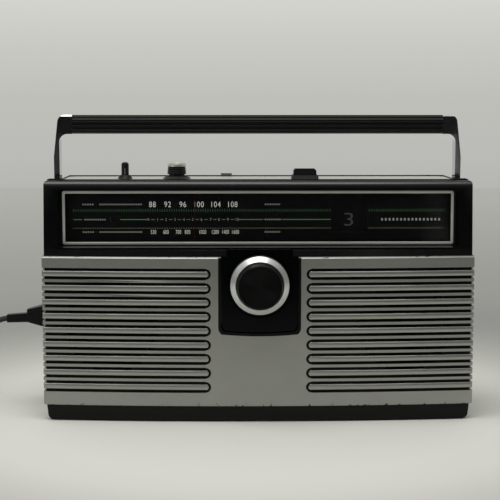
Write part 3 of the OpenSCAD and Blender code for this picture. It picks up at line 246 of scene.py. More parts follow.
@dataclass(frozen=True)
class ChippedPaint(Finish):
    """Sprayed metallic paint on black plastic, which shows in nicks by the edges; the grooves, the bands beside
    the bars, the knob's rebate and the top edge get the same black as painted shade.
    """

    # black of the plastic in the nicks, also used for the painted shade
    chip_colour: str = "#0a0b0c"
    edge_z: Span = (15.4, 156.1)
    edge_reach: float = 4.6  # how far the nicks crowd in from the edges
    chip_mm: float = 3.4  # size of a nick
    chip_from: Span = (0.6, 0.78)  # noise from which the paint is off, at the edge and away from it
    chip_edge: float = 0.012  # how softly a nick's edge ends
    grime_down: Span = (1.7, 0.3)  # painted shade along the top edge, which dims its highlight: how far below the top it starts and where it is full
    grime: float = 0.75  # how much of the paint the painted shade hides
    groove_x: Span = (42.5, 199.6)  # distance from the middle of the panel
    groove_z: Span = (27.9, 145.1)
    bow_y: float = 1951.5  # axis of the bowed face
    bow_radius: float = 2005.0
    groove_sink: float = 0.5  # how far under the face the painted shade of the grooves starts
    straight_x: float = 49.4  # where the round ends of the bars stop
    bar_top: float = 139.7
    bar_pitch: float = 13.3
    bare_half: Span = (2.45, 5.35)  # painted shade in a band on both sides of each bar, from its middle
    rebate_x: float = 39.5  # the rebate round the knob's surround, which gets painted shade
    rebate_z: Span = (80.0, 154.6)
    crown: float = 0.5  # height of the bars' crown over the bowed face, up to which the side bands get painted shade

    @staticmethod
    def within(tree: Tree, mask: Link | float, *spans: tuple[Link, Span]) -> Link:
        """Narrows a mask to where each length lies within its span.

        Args:
            tree: the material's node tree.
            mask: what is narrowed: a mask, or 1 for everything.
            spans: each length in metres, with its two limits in millimetres.

        Returns:
            The narrower mask.
        """
        for value, (low, high) in spans:
            middle, half = (low + high) / 2 * MM, (high - low) / 2 * MM
            inside = add(tree, "ShaderNodeMath", {0: value, 1: middle, 2: half}, operation="COMPARE")
            mask = add(tree, "ShaderNodeMath", {0: mask, 1: inside}, operation="MULTIPLY")
        return mask

    def sunk(self, tree: Tree, place: Link) -> Link:
        """Finds where shade is painted: the walls and floors of the grooves round the bars, a band beside each
        bar and the knob's rebate.

        Args:
            tree: the material's node tree.
            place: the shaded point.

        Returns:
            A mask with 1 where shade is painted.
        """
        parts = add(tree, "ShaderNodeSeparateXYZ", {0: place}).outputs
        flat = add(tree, "ShaderNodeVectorMath", {0: place, 1: (1.0, 1.0, 0.0)}, operation="MULTIPLY")
        far = add(tree, "ShaderNodeVectorMath", {0: flat, 1: (0.0, self.bow_y * MM, 0.0)},
                  operation="DISTANCE").outputs["Value"]
        side = add(tree, "ShaderNodeMath", {0: parts["X"]}, operation="ABSOLUTE")
        from_top = add(tree, "ShaderNodeMath", {0: self.bar_top * MM, 1: parts["Z"]}, operation="SUBTRACT")
        shifted = add(tree, "ShaderNodeMath", {0: from_top, 1: self.bar_pitch / 2 * MM}, operation="ADD")
        bar = add(tree, "ShaderNodeMath", {0: shifted, 1: self.bar_pitch * MM}, operation="SNAP")
        signed = add(tree, "ShaderNodeMath", {0: from_top, 1: bar}, operation="SUBTRACT")
        off = add(tree, "ShaderNodeMath", {0: signed}, operation="ABSOLUTE")
        band = self.within(tree, 1.0, (off, self.bare_half), (side, (self.straight_x, self.groove_x[1])),
                           (far, (0.0, self.bow_radius + self.crown)))
        sunk = self.within(tree, 1.0, (far, (0.0, self.bow_radius - self.groove_sink)))
        rebate = self.within(tree, sunk, (side, (-1.0, self.rebate_x)), (parts["Z"], self.rebate_z))
        either = add(tree, "ShaderNodeMath", {0: sunk, 1: band}, operation="MAXIMUM")
        grooves = self.within(tree, either, (side, self.groove_x), (parts["Z"], self.groove_z))
        return add(tree, "ShaderNodeMath", {0: grooves, 1: rebate}, operation="MAXIMUM")

    def wear(self, tree: Tree, colour: Link, rough: Link) -> tuple[Link, Link]:
        """Lays chips over the paint, most of them near its edges, and paints shade in the grooves, beside the
        bars, in the knob's rebate and along the top edge.

        Args:
            tree: the material's node tree.
            colour: the paint's colour.
            rough: its roughness.

        Returns:
            The chipped colour with its painted shade, and the same roughness.
        """
        place = add(tree, "ShaderNodeTexCoord").outputs["Object"]
        height = add(tree, "ShaderNodeSeparateXYZ", {0: place}).outputs["Z"]
        low, high = (edge * MM for edge in self.edge_z)
        over = add(tree, "ShaderNodeMath", {0: height, 1: low}, operation="SUBTRACT")
        under = add(tree, "ShaderNodeMath", {0: high, 1: height}, operation="SUBTRACT")
        near = add(tree, "ShaderNodeMath", {0: over, 1: under}, operation="MINIMUM")
        by_edge, away = self.chip_from
        need = add(tree, "ShaderNodeMapRange", {
            "Value": near, "From Max": self.edge_reach * MM, "To Min": by_edge, "To Max": away})
        nicks = self.pattern(tree, self.chip_mm, 3.0)
        past = add(tree, "ShaderNodeMath", {0: nicks, 1: need}, operation="SUBTRACT")
        chips_and_shade = add(tree, "ShaderNodeMapRange", {"Value": past, "From Max": self.chip_edge})
        # Painted shade along the top edge dims its highlight.
        start, full = (high - down * MM for down in self.grime_down)
        grime = add(tree, "ShaderNodeMapRange", {
            "Value": height, "From Min": start, "From Max": full, "To Max": self.grime})
        # The grooves, the bands beside the bars and the knob's rebate get the black as painted shade.
        for mask in (self.sunk(tree, place), grime):
            chips_and_shade = add(tree, "ShaderNodeMath", {0: chips_and_shade, 1: mask}, operation="MAXIMUM")
        chipped_and_shaded = add(tree, "ShaderNodeMix", {0: chips_and_shade, 6: colour, 7: linear(self.chip_colour)}, data_type="RGBA")
        return chipped_and_shaded.outputs[2], rough


@dataclass(frozen=True)
class TurnedMetal(Finish):
    """Metal faced on a lathe: fine rings about an axis along Y, which fan the light out."""

    centre: Span = (1.0, 129.9)
    ring_mm: float = 0.55

    def relief(self, tree: Tree) -> Link:
        """Adds rings about the knob's axis.

        Args:
            tree: the material's node tree.

        Returns:
            Their height from -1 to 1.
        """
        place = add(tree, "ShaderNodeTexCoord").outputs["Object"]
        middle = (self.centre[0] * MM, 0.0, self.centre[1] * MM)
        moved = add(tree, "ShaderNodeVectorMath", {0: place, 1: middle}, operation="SUBTRACT")
        flat = add(tree, "ShaderNodeVectorMath", {0: moved, 1: (1.0, 0.0, 1.0)}, operation="MULTIPLY")
        far = add(tree, "ShaderNodeVectorMath", {0: flat}, operation="LENGTH").outputs["Value"]
        laps = add(tree, "ShaderNodeMath", {0: far, 1: 2 * math.pi / (self.ring_mm * MM)}, operation="MULTIPLY")
        return add(tree, "ShaderNodeMath", {0: laps}, operation="SINE")


@dataclass(frozen=True)
class TippedChrome(Finish):
    """Plated rod whose end knob is blackened."""

    tip_x: float = -14.0
    tip_colour: str = "#2c2d2c"

    def wear(self, tree: Tree, colour: Link, rough: Link) -> tuple[Link, Link]:
        """Blackens what lies beyond the tip's collar.

        Args:
            tree: the material's node tree.
            colour: the plating's colour.
            rough: its roughness.

        Returns:
            The colour with the black tip and the same roughness.
        """
        place = add(tree, "ShaderNodeTexCoord").outputs["Object"]
        along = add(tree, "ShaderNodeSeparateXYZ", {0: place}).outputs["X"]
        tip = add(tree, "ShaderNodeMath", {0: along, 1: self.tip_x * MM}, operation="LESS_THAN")
        tipped = add(tree, "ShaderNodeMix", {0: tip, 6: colour, 7: linear(self.tip_colour)}, data_type="RGBA")
        return tipped.outputs[2], rough


# Injection-moulded black polystyrene, polished tool: deep black with a clear highlight.
BLACK_GLOSS = Finish("polished_black_polystyrene", "#060708", 0.2, ior=1.43, shade=0.2, grain_mm=4,
                     grain_depth_mm=0.01, dust=0.03, matt_top=True)
# The same plastic under the knob, wiped clean: almost no sheen.
BLACK_DEEP = Finish("wiped_black_polystyrene", "#040506", 0.14, ior=1.15, shade=0.2, grain_mm=4,
                    grain_depth_mm=0.01, matt_top=True)
# Spark-eroded black ABS: dark grey in the light, with a fine even grain.
BLACK_SATIN = Finish("grained_black_abs", "#0d0e0e", 0.46, ior=1.38, shade=0.2, grain_mm=0.7, grain_depth_mm=0.03,
                     dust=0.1, matt_top=True)
# The same black, wiped clean by hands and cloths: darker, with little dust.
BLACK_WORN = Finish("handled_black_abs", "#040404", 0.36, ior=1.25, shade=0.2, grain_mm=0.7, grain_depth_mm=0.02,
                    dust=0.03)
# Metallic lacquer sprayed on ABS: warm grey silver, a fine sparkle, black where it has chipped, and black as
# painted shade in the grooves, by the bars and along the top edge.
SILVER_PAINT = ChippedPaint("sprayed_silver_abs", "#8b8c87", 0.36, metallic=0.8, shade=0.06, grain_mm=0.5,
                            grain_depth_mm=0.012)
# Brushed and lacquered aluminium sheet: streaks along the width.
SILVER_PLATE = Finish("brushed_aluminium_sheet", "#e9e9e4", 0.25, metallic=1.0, shade=0.08, grain_mm=0.8,
                      stretch=(0.05, 1.0, 1.0), dust=0.1)
# Silvered trim that has yellowed: pale cream, soft.
CREAM_TRIM = Finish("yellowed_silver_trim", "#cfccba", 0.34, metallic=0.6, shade=0.06, grain_mm=2.0)
# Lathe-turned aluminium: fine rings round the axis.
TURNED_RIM = TurnedMetal("turned_aluminium_rim", "#c0c2c0", 0.3, metallic=1.0, shade=0.05,
                         grain_depth_mm=0.012)
# Black-dyed knob cap with a turned face: rings that fan the light out in two wedges.
TURNED_CAP = TurnedMetal("turned_black_cap", "#030404", 0.3, ior=1.17, shade=0.1, grain_depth_mm=0.05)
# Vacuum-plated trim under a satin lacquer: pale and soft.
BEZEL_TRIM = Finish("satin_plated_trim", "#cdcec9", 0.42, metallic=0.55, shade=0.08, grain_mm=2.0)
# Nickel-chrome on zinc, hazed by hands.
CHROME_ARM = Finish("hazed_chrome_plating", "#c9cccf", 0.12, metallic=1.0, shade=0.3, patch_mm=4.0,
                    stretch=(1.0, 1.0, 0.02), grain_mm=3.0, grain_depth_mm=0.01, uneven=0.03)
# Bright nickel-chrome on steel.
CHROME = Finish("bright_chrome_plating", "#dddfe0", 0.07, metallic=1.0, shade=0.04, grain_mm=6.0,
                grain_depth_mm=0.004, uneven=0.03)
# The same on the thinnest rod, whose end knob is black.
ROD_TIP = TippedChrome("black_tipped_chrome", "#dddfe0", 0.2, metallic=1.0, shade=0.04, grain_mm=6.0)
# Zinc-plated pressed steel: grey, slightly cloudy.
STEEL = Finish("zinc_plated_steel", "#a3a39e", 0.36, metallic=1.0, shade=0.2, patch_mm=8.0)
# Turned brass.
BRASS = Finish("turned_brass", "#b08f4d", 0.28, metallic=1.0, shade=0.12)
# Moulded nylon: milky white, soft highlight.
NYLON = Finish("moulded_white_nylon", "#dad6cb", 0.42, shade=0.06)
# Moulded rubber: matt black.
RUBBER = Finish("moulded_black_rubber", "#171717", 0.78, shade=0.2, grain_mm=0.9, grain_depth_mm=0.04, dust=0.2)
# Extruded vinyl jacket: black with a soft long highlight.
VINYL = Finish("extruded_black_vinyl", "#111213", 0.38, shade=0.15, grain_mm=1.2, dust=0.12)
# Pressed paper pulp: matt, fibrous.
CONE_PAPER = Finish("pressed_cone_paper", "#1d1c1b", 0.93, shade=0.3, patch_mm=5.0, grain_mm=0.8,
                    grain_depth_mm=0.06)
# Phenolic paper laminate: brown, slightly glossy.
BOARD_PAPER = Finish("phenolic_board", "#7a5a2c", 0.4, shade=0.15, grain_mm=1.0)
# Sintered ferrite: dark grey, matt.
FERRITE = Finish("sintered_ferrite", "#2b2927", 0.7, shade=0.2)
# Braided waxed thread.
THREAD = Finish("waxed_thread", "#b9b299", 0.7, shade=0.2, patch_mm=2.0)
# Cast red acrylic: glossy.
POINTER_RED = Finish("cast_red_acrylic", "#5a1a16", 0.3, alpha=0.4, ior=1.2, shade=0.05)


def ink(name: str, colour: str, glow: float, shade: float = 0.1) -> Finish:
    """Gives a silk-screened ink of the dial plate: matt, with a faint painted glow."""
    return Finish(name + "_screen_ink", colour, 0.55, shade=shade, patch_mm=3.0, glow=glow)


# Silk-screened inks on the dial plate, each with a painted glow.
INK_WHITE = ink("white", "#eef0e8", 0.45, 0.08)
INK_GREEN = ink("green", "#4a8a52", 0.16, 0.15)
INK_CREAM = ink("cream", "#b9b48c", 0.3, 0.15)
# A brighter green for the line through the middle scale, and a pale grey for small print.
INK_LINE = ink("bright_green", "#6f9a62", 0.3)
INK_PALE = ink("pale_grey", "#a9aea6", 0.22)
# Matt black flock paint behind the dial glass.
DIAL_BLACK = Finish("matt_black_dial_paint", "#030404", 0.6, ior=1.25, shade=0.2, grain_mm=1.0)
# Smoked acrylic lens of a lamp.
LENS_DARK = Finish("smoked_lamp_lens", "#0c0708", 0.2, ior=1.3, shade=0.1)
# Extruded clear acrylic sheet: thin, dark behind, with a clear highlight.
ACRYLIC = Finish("clear_acrylic_sheet", "#0a0d0f", 0.05, alpha=0.1, ior=1.56, shade=0.1, grain_mm=30.0,
                 grain_depth_mm=0.01, uneven=0.02)
# Moulded dim numeral, seen through the smoked window, with a faint painted glow.
NUMERAL_DIM = Finish("unlit_numeral", "#4a554f", 0.5, shade=0.1, glow=0.02)


# ---- Making meshes ----


def new_object(name: str, data: bpy.types.ID) -> Piece:
    """Links an object at the origin.

    Args:
        name: the object's name.
        data: its mesh, curve, camera or light.

    Returns:
        The new object.
    """
    made = bpy.data.objects.new(name, data)
    bpy.context.scene.collection.objects.link(made)
    return made


def plain_mesh(name: str, drawn: bmesh.types.BMesh) -> bpy.types.Mesh:
    """Writes a drawn mesh to a new data block and frees it.

    Args:
        name: the data block's name.
        drawn: the mesh.

    Returns:
        The data block.
    """
    data = bpy.data.meshes.new(name)
    drawn.to_mesh(data)
    drawn.free()
    return data


def mount(made: Piece, finish: Finish, body: Body = Body.CABINET,
          nodes: Sequence[str] = ()) -> Piece:
    """Finishes a piece: its material, its body and the CAD nodes that it stands for.

    Args:
        made: the piece, whose place is in its mesh.
        finish: what it is finished in.
        body: the body it rides on.
        nodes: CAD nodes that it replaces.

    Returns:
        The piece.
    """
    if not made.data.materials:
        made.data.materials.append(finish.material())
    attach(made, body.value)
    if nodes:
        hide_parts(*nodes)
    LOG.info("%s: %d faces on %s", made.name, len(made.data.polygons), body.value)
    return made


class Shape:
    """A mesh under construction, in millimetres as x, u, z."""

    def __init__(self) -> None:
        """Starts empty."""
        self.mesh = bmesh.new()

    def block(self, low: Sequence[float], high: Sequence[float]) -> None:
        """Adds a box.

        Args:
            low: its left, front, lower corner.
            high: its right, back, upper corner.
        """
        (a, b, c), (d, e, f) = low, high
        points = [(a, b, c), (d, b, c), (d, e, c), (a, e, c), (a, b, f), (d, b, f), (d, e, f), (a, e, f)]
        faces = [(0, 3, 2, 1), (4, 5, 6, 7), (0, 1, 5, 4), (1, 2, 6, 5), (2, 3, 7, 6), (3, 0, 4, 7)]
        corners = [self.mesh.verts.new(at(*p)) for p in points]
        for face in faces:
            self.mesh.faces.new([corners[i] for i in face])

    def turned(self, profile: Loop, place: Callable[[float, float, float], Sequence[float]]) -> None:
        """Adds a solid of revolution.

        Args:
            profile: an open line of (radius, height) whose ends lie on the axis.
            place: gives x, u, z for two radial values and a height.
        """
        sides = 48
        rows: list[list[bmesh.types.BMVert]] = []
        for radius, height in profile:
            angles = [2 * math.pi * i / sides for i in range(sides if radius else 1)]
            ring = [place(radius * math.cos(a), radius * math.sin(a), height) for a in angles]
            rows.append([self.mesh.verts.new(at(*p)) for p in ring])
        for low, high in zip(rows, rows[1:]):
            for i in range(sides):
                j = (i + 1) % sides
                ring = [low[i % len(low)], low[j % len(low)], high[j % len(high)], high[i % len(high)]]
                corners = list(dict.fromkeys(ring))
                if len(corners) > 2:
                    self.mesh.faces.new(corners)

    def swept(self, path: Sequence[Vector], section: Callable[[int], Loop], upright: Vector) -> None:
        """Adds a closed tube along a path.

        Args:
            path: points in millimetres as x, u, z.
            section: gives the outline at each point as (side, up) pairs.
            upright: the direction that up leans to.
        """
        rows = []
        for i, point in enumerate(path):
            ahead = (path[min(i + 1, len(path) - 1)] - path[max(i - 1, 0)]).normalized()
            side = ahead.cross(upright).normalized()
            up = side.cross(ahead).normalized()
            rows.append([self.mesh.verts.new(at(*(point + side * a + up * b))) for a, b in section(i)])
        count = len(rows[0])
        for low, high in zip(rows, rows[1:]):
            for i in range(count):
                self.mesh.faces.new((low[i], low[(i + 1) % count], high[(i + 1) % count], high[i]))
        self.mesh.faces.new(rows[0][::-1])
        self.mesh.faces.new(rows[-1])

    def finished(self, name: str, bevel_mm: float = 0.0) -> Piece:
        """Closes the shape: one outward skin, shaded smooth, with its sharp edges rounded.

        Args:
            name: the piece's name.
            bevel_mm: radius of the rounded edges.

        Returns:
            The new object.
        """
        bmesh.ops.remove_doubles(self.mesh, verts=self.mesh.verts, dist=1e-6)
        bmesh.ops.recalc_face_normals(self.mesh, faces=self.mesh.faces)
        for face in self.mesh.faces:
            face.smooth = True
        for edge in self.mesh.edges:
            edge.smooth = len(edge.link_faces) != 2 or edge.calc_face_angle() < math.radians(35)
        made = new_object(name, plain_mesh(name, self.mesh))
        if bevel_mm:
            round_edges(made, bevel_mm)
        return made


def round_edges(made: Piece, bevel_mm: float, segments: int = 2) -> None:
    """Rounds a piece's sharp edges with a live modifier.

    Args:
        made: the piece.
        bevel_mm: radius of the rounded edges.
        segments: facets across an edge.
    """
    bevel = made.modifiers.new("rounded", "BEVEL")
    bevel.width = bevel_mm * MM
    bevel.segments = segments
    bevel.limit_method = "ANGLE"
    bevel.angle_limit = math.radians(40)
    bevel.harden_normals = True


class Growth:
    """A geometry node tree with named inputs, run on a host mesh and then made plain."""

    def __init__(self, name: str, inputs: dict[str, str]) -> None:
        """Makes the empty tree.

        Args:
            name: the tree's name.
            inputs: kind of each named input, such as "Float".
        """
        self.tree = bpy.data.node_groups.new(name, "GeometryNodeTree")
        self.tree.interface.new_socket("Geometry", in_out="INPUT", socket_type="NodeSocketGeometry")
        for label, kind in inputs.items():
            self.tree.interface.new_socket(label, in_out="INPUT", socket_type="NodeSocket" + kind)
        self.tree.interface.new_socket("Geometry", in_out="OUTPUT", socket_type="NodeSocketGeometry")
        self.given = add(self.tree, "NodeGroupInput").outputs

    def end(self, geometry: Link, finish: Link) -> None:
        """Ends the tree in real geometry with its material.

        Args:
            geometry: what the tree has drawn.
            finish: the material input.
        """
        real = add(self.tree, "GeometryNodeRealizeInstances", {0: geometry})
        clad = add(self.tree, "GeometryNodeSetMaterial", {"Geometry": real, "Material": finish})
        add(self.tree, "NodeGroupOutput", {0: clad})

    def attach(self, host: Piece, values: dict) -> None:
        """Puts the tree on an object as a modifier, with its inputs set by their identifiers.

        Args:
            host: the object.
            values: what each named input gets.
        """
        grower = host.modifiers.new(self.tree.name, "NODES")
        grower.node_group = self.tree
        ids = {s.name: s.identifier for s in self.tree.interface.items_tree if s.in_out == "INPUT"}
        for label, value in values.items():
            grower[ids[label]] = value

    def grow(self, name: str, values: dict, points: Sequence[Vector] = ()) -> Piece:
        """Runs the tree and gives the result as a plain mesh object.

        Args:
            name: the piece's name.
            values: the named inputs.
            points: vertices of the host mesh.

        Returns:
            The new object, without modifiers.
        """
        seed = bpy.data.meshes.new(name + "_seed")
        seed.from_pydata([tuple(p) for p in points], [], [])
        host = new_object(name, seed)
        self.attach(host, values)
        ready = host.evaluated_get(bpy.context.evaluated_depsgraph_get())
        result = bpy.data.meshes.new_from_object(ready)
        host.modifiers.clear()
        host.data = result
        result.name = name
        return host


def shading_tree() -> Growth:
    """Makes the tree that welds a CAD node's triangles and shades its curved faces smooth.

    Returns:
        The tree.
    """
    growth = Growth("weld_and_shade", {"Crease": "Float"})
    tree = growth.tree
    welded = add(tree, "GeometryNodeMergeByDistance", {"Geometry": growth.given[0], "Distance": 2e-6})
    angle = add(tree, "GeometryNodeInputMeshEdgeAngle").outputs["Unsigned Angle"]
    sharp = add(tree, "FunctionNodeCompare", {0: angle, 1: growth.given["Crease"]}, operation="GREATER_THAN")
    smooth = add(tree, "GeometryNodeSetShadeSmooth", {"Geometry": welded, "Shade Smooth": True})
    creased = add(tree, "GeometryNodeSetShadeSmooth", {
        "Geometry": smooth, "Selection": sharp, "Shade Smooth": False}, domain="EDGE")
    add(tree, "NodeGroupOutput", {0: creased})
    return growth


def bar_row_tree() -> Growth:
    """Makes the tree that lays equal small bars in a row.

    Returns:
        The tree.
    """
    growth = Growth("bar_row", {
        "Count": "Int", "First": "Vector", "Step": "Vector", "Bar Size": "Vector", "Finish": "Material"})
    given, tree = growth.given, growth.tree
    line = add(tree, "GeometryNodeMeshLine", {
        "Count": given["Count"], "Start Location": given["First"], "Offset": given["Step"]}, mode="OFFSET")
    bar = add(tree, "GeometryNodeMeshCube", {"Size": given["Bar Size"]})
    growth.end(add(tree, "GeometryNodeInstanceOnPoints", {"Points": line, "Instance": bar}), given["Finish"])
    return growth


def screw_tree() -> Growth:
    """Makes the tree that puts a cross-recessed screw head on each point.

    Returns:
        The tree.
    """
    growth = Growth("screw_heads", {
        "Head Radius": "Float", "Head Height": "Float", "Turn": "Vector", "Finish": "Material"})
    given, tree = growth.given, growth.tree
    # The head's top and the cross's arms, as shares of the head's radius.
    top, long, thin = (
        add(tree, "ShaderNodeMath", {0: given["Head Radius"], 1: share}, operation="MULTIPLY")
        for share in (0.62, 1.05, 0.24))
    head = add(tree, "GeometryNodeMeshCone", {
        "Vertices": 24, "Radius Top": top, "Radius Bottom": given["Head Radius"], "Depth": given["Head Height"]})
    lift = add(tree, "ShaderNodeCombineXYZ", {"Z": given["Head Height"]})
    cut = add(tree, "GeometryNodeMeshBoolean", {"Mesh 1": head}, operation="DIFFERENCE")
    for along, across in ((long, thin), (thin, long)):
        size = add(tree, "ShaderNodeCombineXYZ", {"X": along, "Y": across, "Z": given["Head Height"]})
        cube = add(tree, "GeometryNodeMeshCube", {"Size": size})
        slot = add(tree, "GeometryNodeTransform", {"Geometry": cube, "Translation": lift})
        tree.links.new(slot.outputs[0], cut.inputs["Mesh 2"])
    turn = add(tree, "FunctionNodeEulerToRotation", {0: given["Turn"]})
    points = add(tree, "GeometryNodeMeshToPoints", {0: given[0]})
    set_in = add(tree, "GeometryNodeInstanceOnPoints", {"Points": points, "Instance": cut, "Rotation": turn})
    growth.end(set_in, given["Finish"])
    return growth


def fluted_tree() -> Growth:
    """Makes the tree that draws a fluted bar along X: a circle whose radius follows a cosine.

    Returns:
        The tree.
    """
    growth = Growth("fluted_bar", {
        "Start": "Vector", "End": "Vector", "Radius": "Float",
        "Flutes": "Int", "Flute Depth": "Float", "Finish": "Material"})
    given, tree = growth.given, growth.tree
    ring = add(tree, "GeometryNodeCurvePrimitiveCircle", {"Resolution": 256, "Radius": 1.0})
    place = add(tree, "GeometryNodeInputPosition")
    parts = add(tree, "ShaderNodeSeparateXYZ", {0: place}).outputs
    angle = add(tree, "ShaderNodeMath", {0: parts["Y"], 1: parts["X"]}, operation="ARCTAN2")
    laps = add(tree, "ShaderNodeMath", {0: angle, 1: given["Flutes"]}, operation="MULTIPLY")
    wave = add(tree, "ShaderNodeMath", {0: laps}, operation="COSINE")
    # Only the wave's crests cut in, which keeps the lands broad and the grooves narrow.
    crest = add(tree, "ShaderNodeMapRange", {"Value": wave, "From Min": 0.25})
    deep = add(tree, "ShaderNodeMath", {0: crest, 1: given["Flute Depth"]}, operation="MULTIPLY")
    far = add(tree, "ShaderNodeMath", {0: given["Radius"], 1: deep}, operation="SUBTRACT")
    moved = add(tree, "ShaderNodeVectorMath", {0: place, "Scale": far}, operation="SCALE")
    profile = add(tree, "GeometryNodeSetPosition", {"Geometry": ring, "Position": moved})
    line = add(tree, "GeometryNodeCurvePrimitiveLine", {"Start": given["Start"], "End": given["End"]})
    bar = add(tree, "GeometryNodeCurveToMesh", {"Curve": line, "Profile Curve": profile, "Fill Caps": True})
    growth.end(bar, given["Finish"])
    return growth


def mesh_of_text(words: str, height_mm: float, wide: float, where: Point) -> bpy.types.Mesh:
    """Sets one plain number as a thin closed mesh that faces the front.

    Args:
        words: the number.
        height_mm: height of a digit.
        wide: width factor of the digits.
        where: middle of the number as x, u, z.

    Returns:
        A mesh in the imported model's frame.
    """
    # Drawn about one unit tall, a little thinned and spaced out, on a body 0.04 units thick.
    curve = bpy.data.curves.new("number", "FONT")
    curve.body = words
    curve.align_x = "CENTER"
    curve.align_y = "CENTER"
    curve.size = 1.0
    curve.offset = -0.01
    curve.space_character = 1.12
    curve.extrude = 0.02
    holder = new_object("number", curve)
    bpy.context.view_layer.update()
    mesh = bpy.data.meshes.new_from_object(holder.evaluated_get(bpy.context.evaluated_depsgraph_get()))
    bpy.data.objects.remove(holder)
    bpy.data.curves.remove(curve)
    top, bottom = (pick(v.co.y for v in mesh.vertices) for pick in (max, min))
    middle = (top + bottom) / 2
    size = height_mm * MM / (top - bottom)
    upright = Matrix(((size * wide, 0, 0, 0), (0, 0, -MM * 2, 0), (0, size, 0, -middle * size), (0, 0, 0, 1)))
    mesh.transform(Matrix.Translation(at(*where)) @ upright)
    return mesh


def joined(name: str, meshes: Sequence[bpy.types.Mesh]) -> Piece:
    """Joins meshes into one object and drops the originals.

    Args:
        name: the object's name.
        meshes: what it is joined from.

    Returns:
        The new object.
    """
    whole = bmesh.new()
    for mesh in meshes:
        whole.from_mesh(mesh)
        bpy.data.meshes.remove(mesh)
    bmesh.ops.remove_doubles(whole, verts=whole.verts, dist=1e-7)
    bmesh.ops.recalc_face_normals(whole, faces=whole.faces)
    return new_object(name, plain_mesh(name, whole))


# ---- The room ----


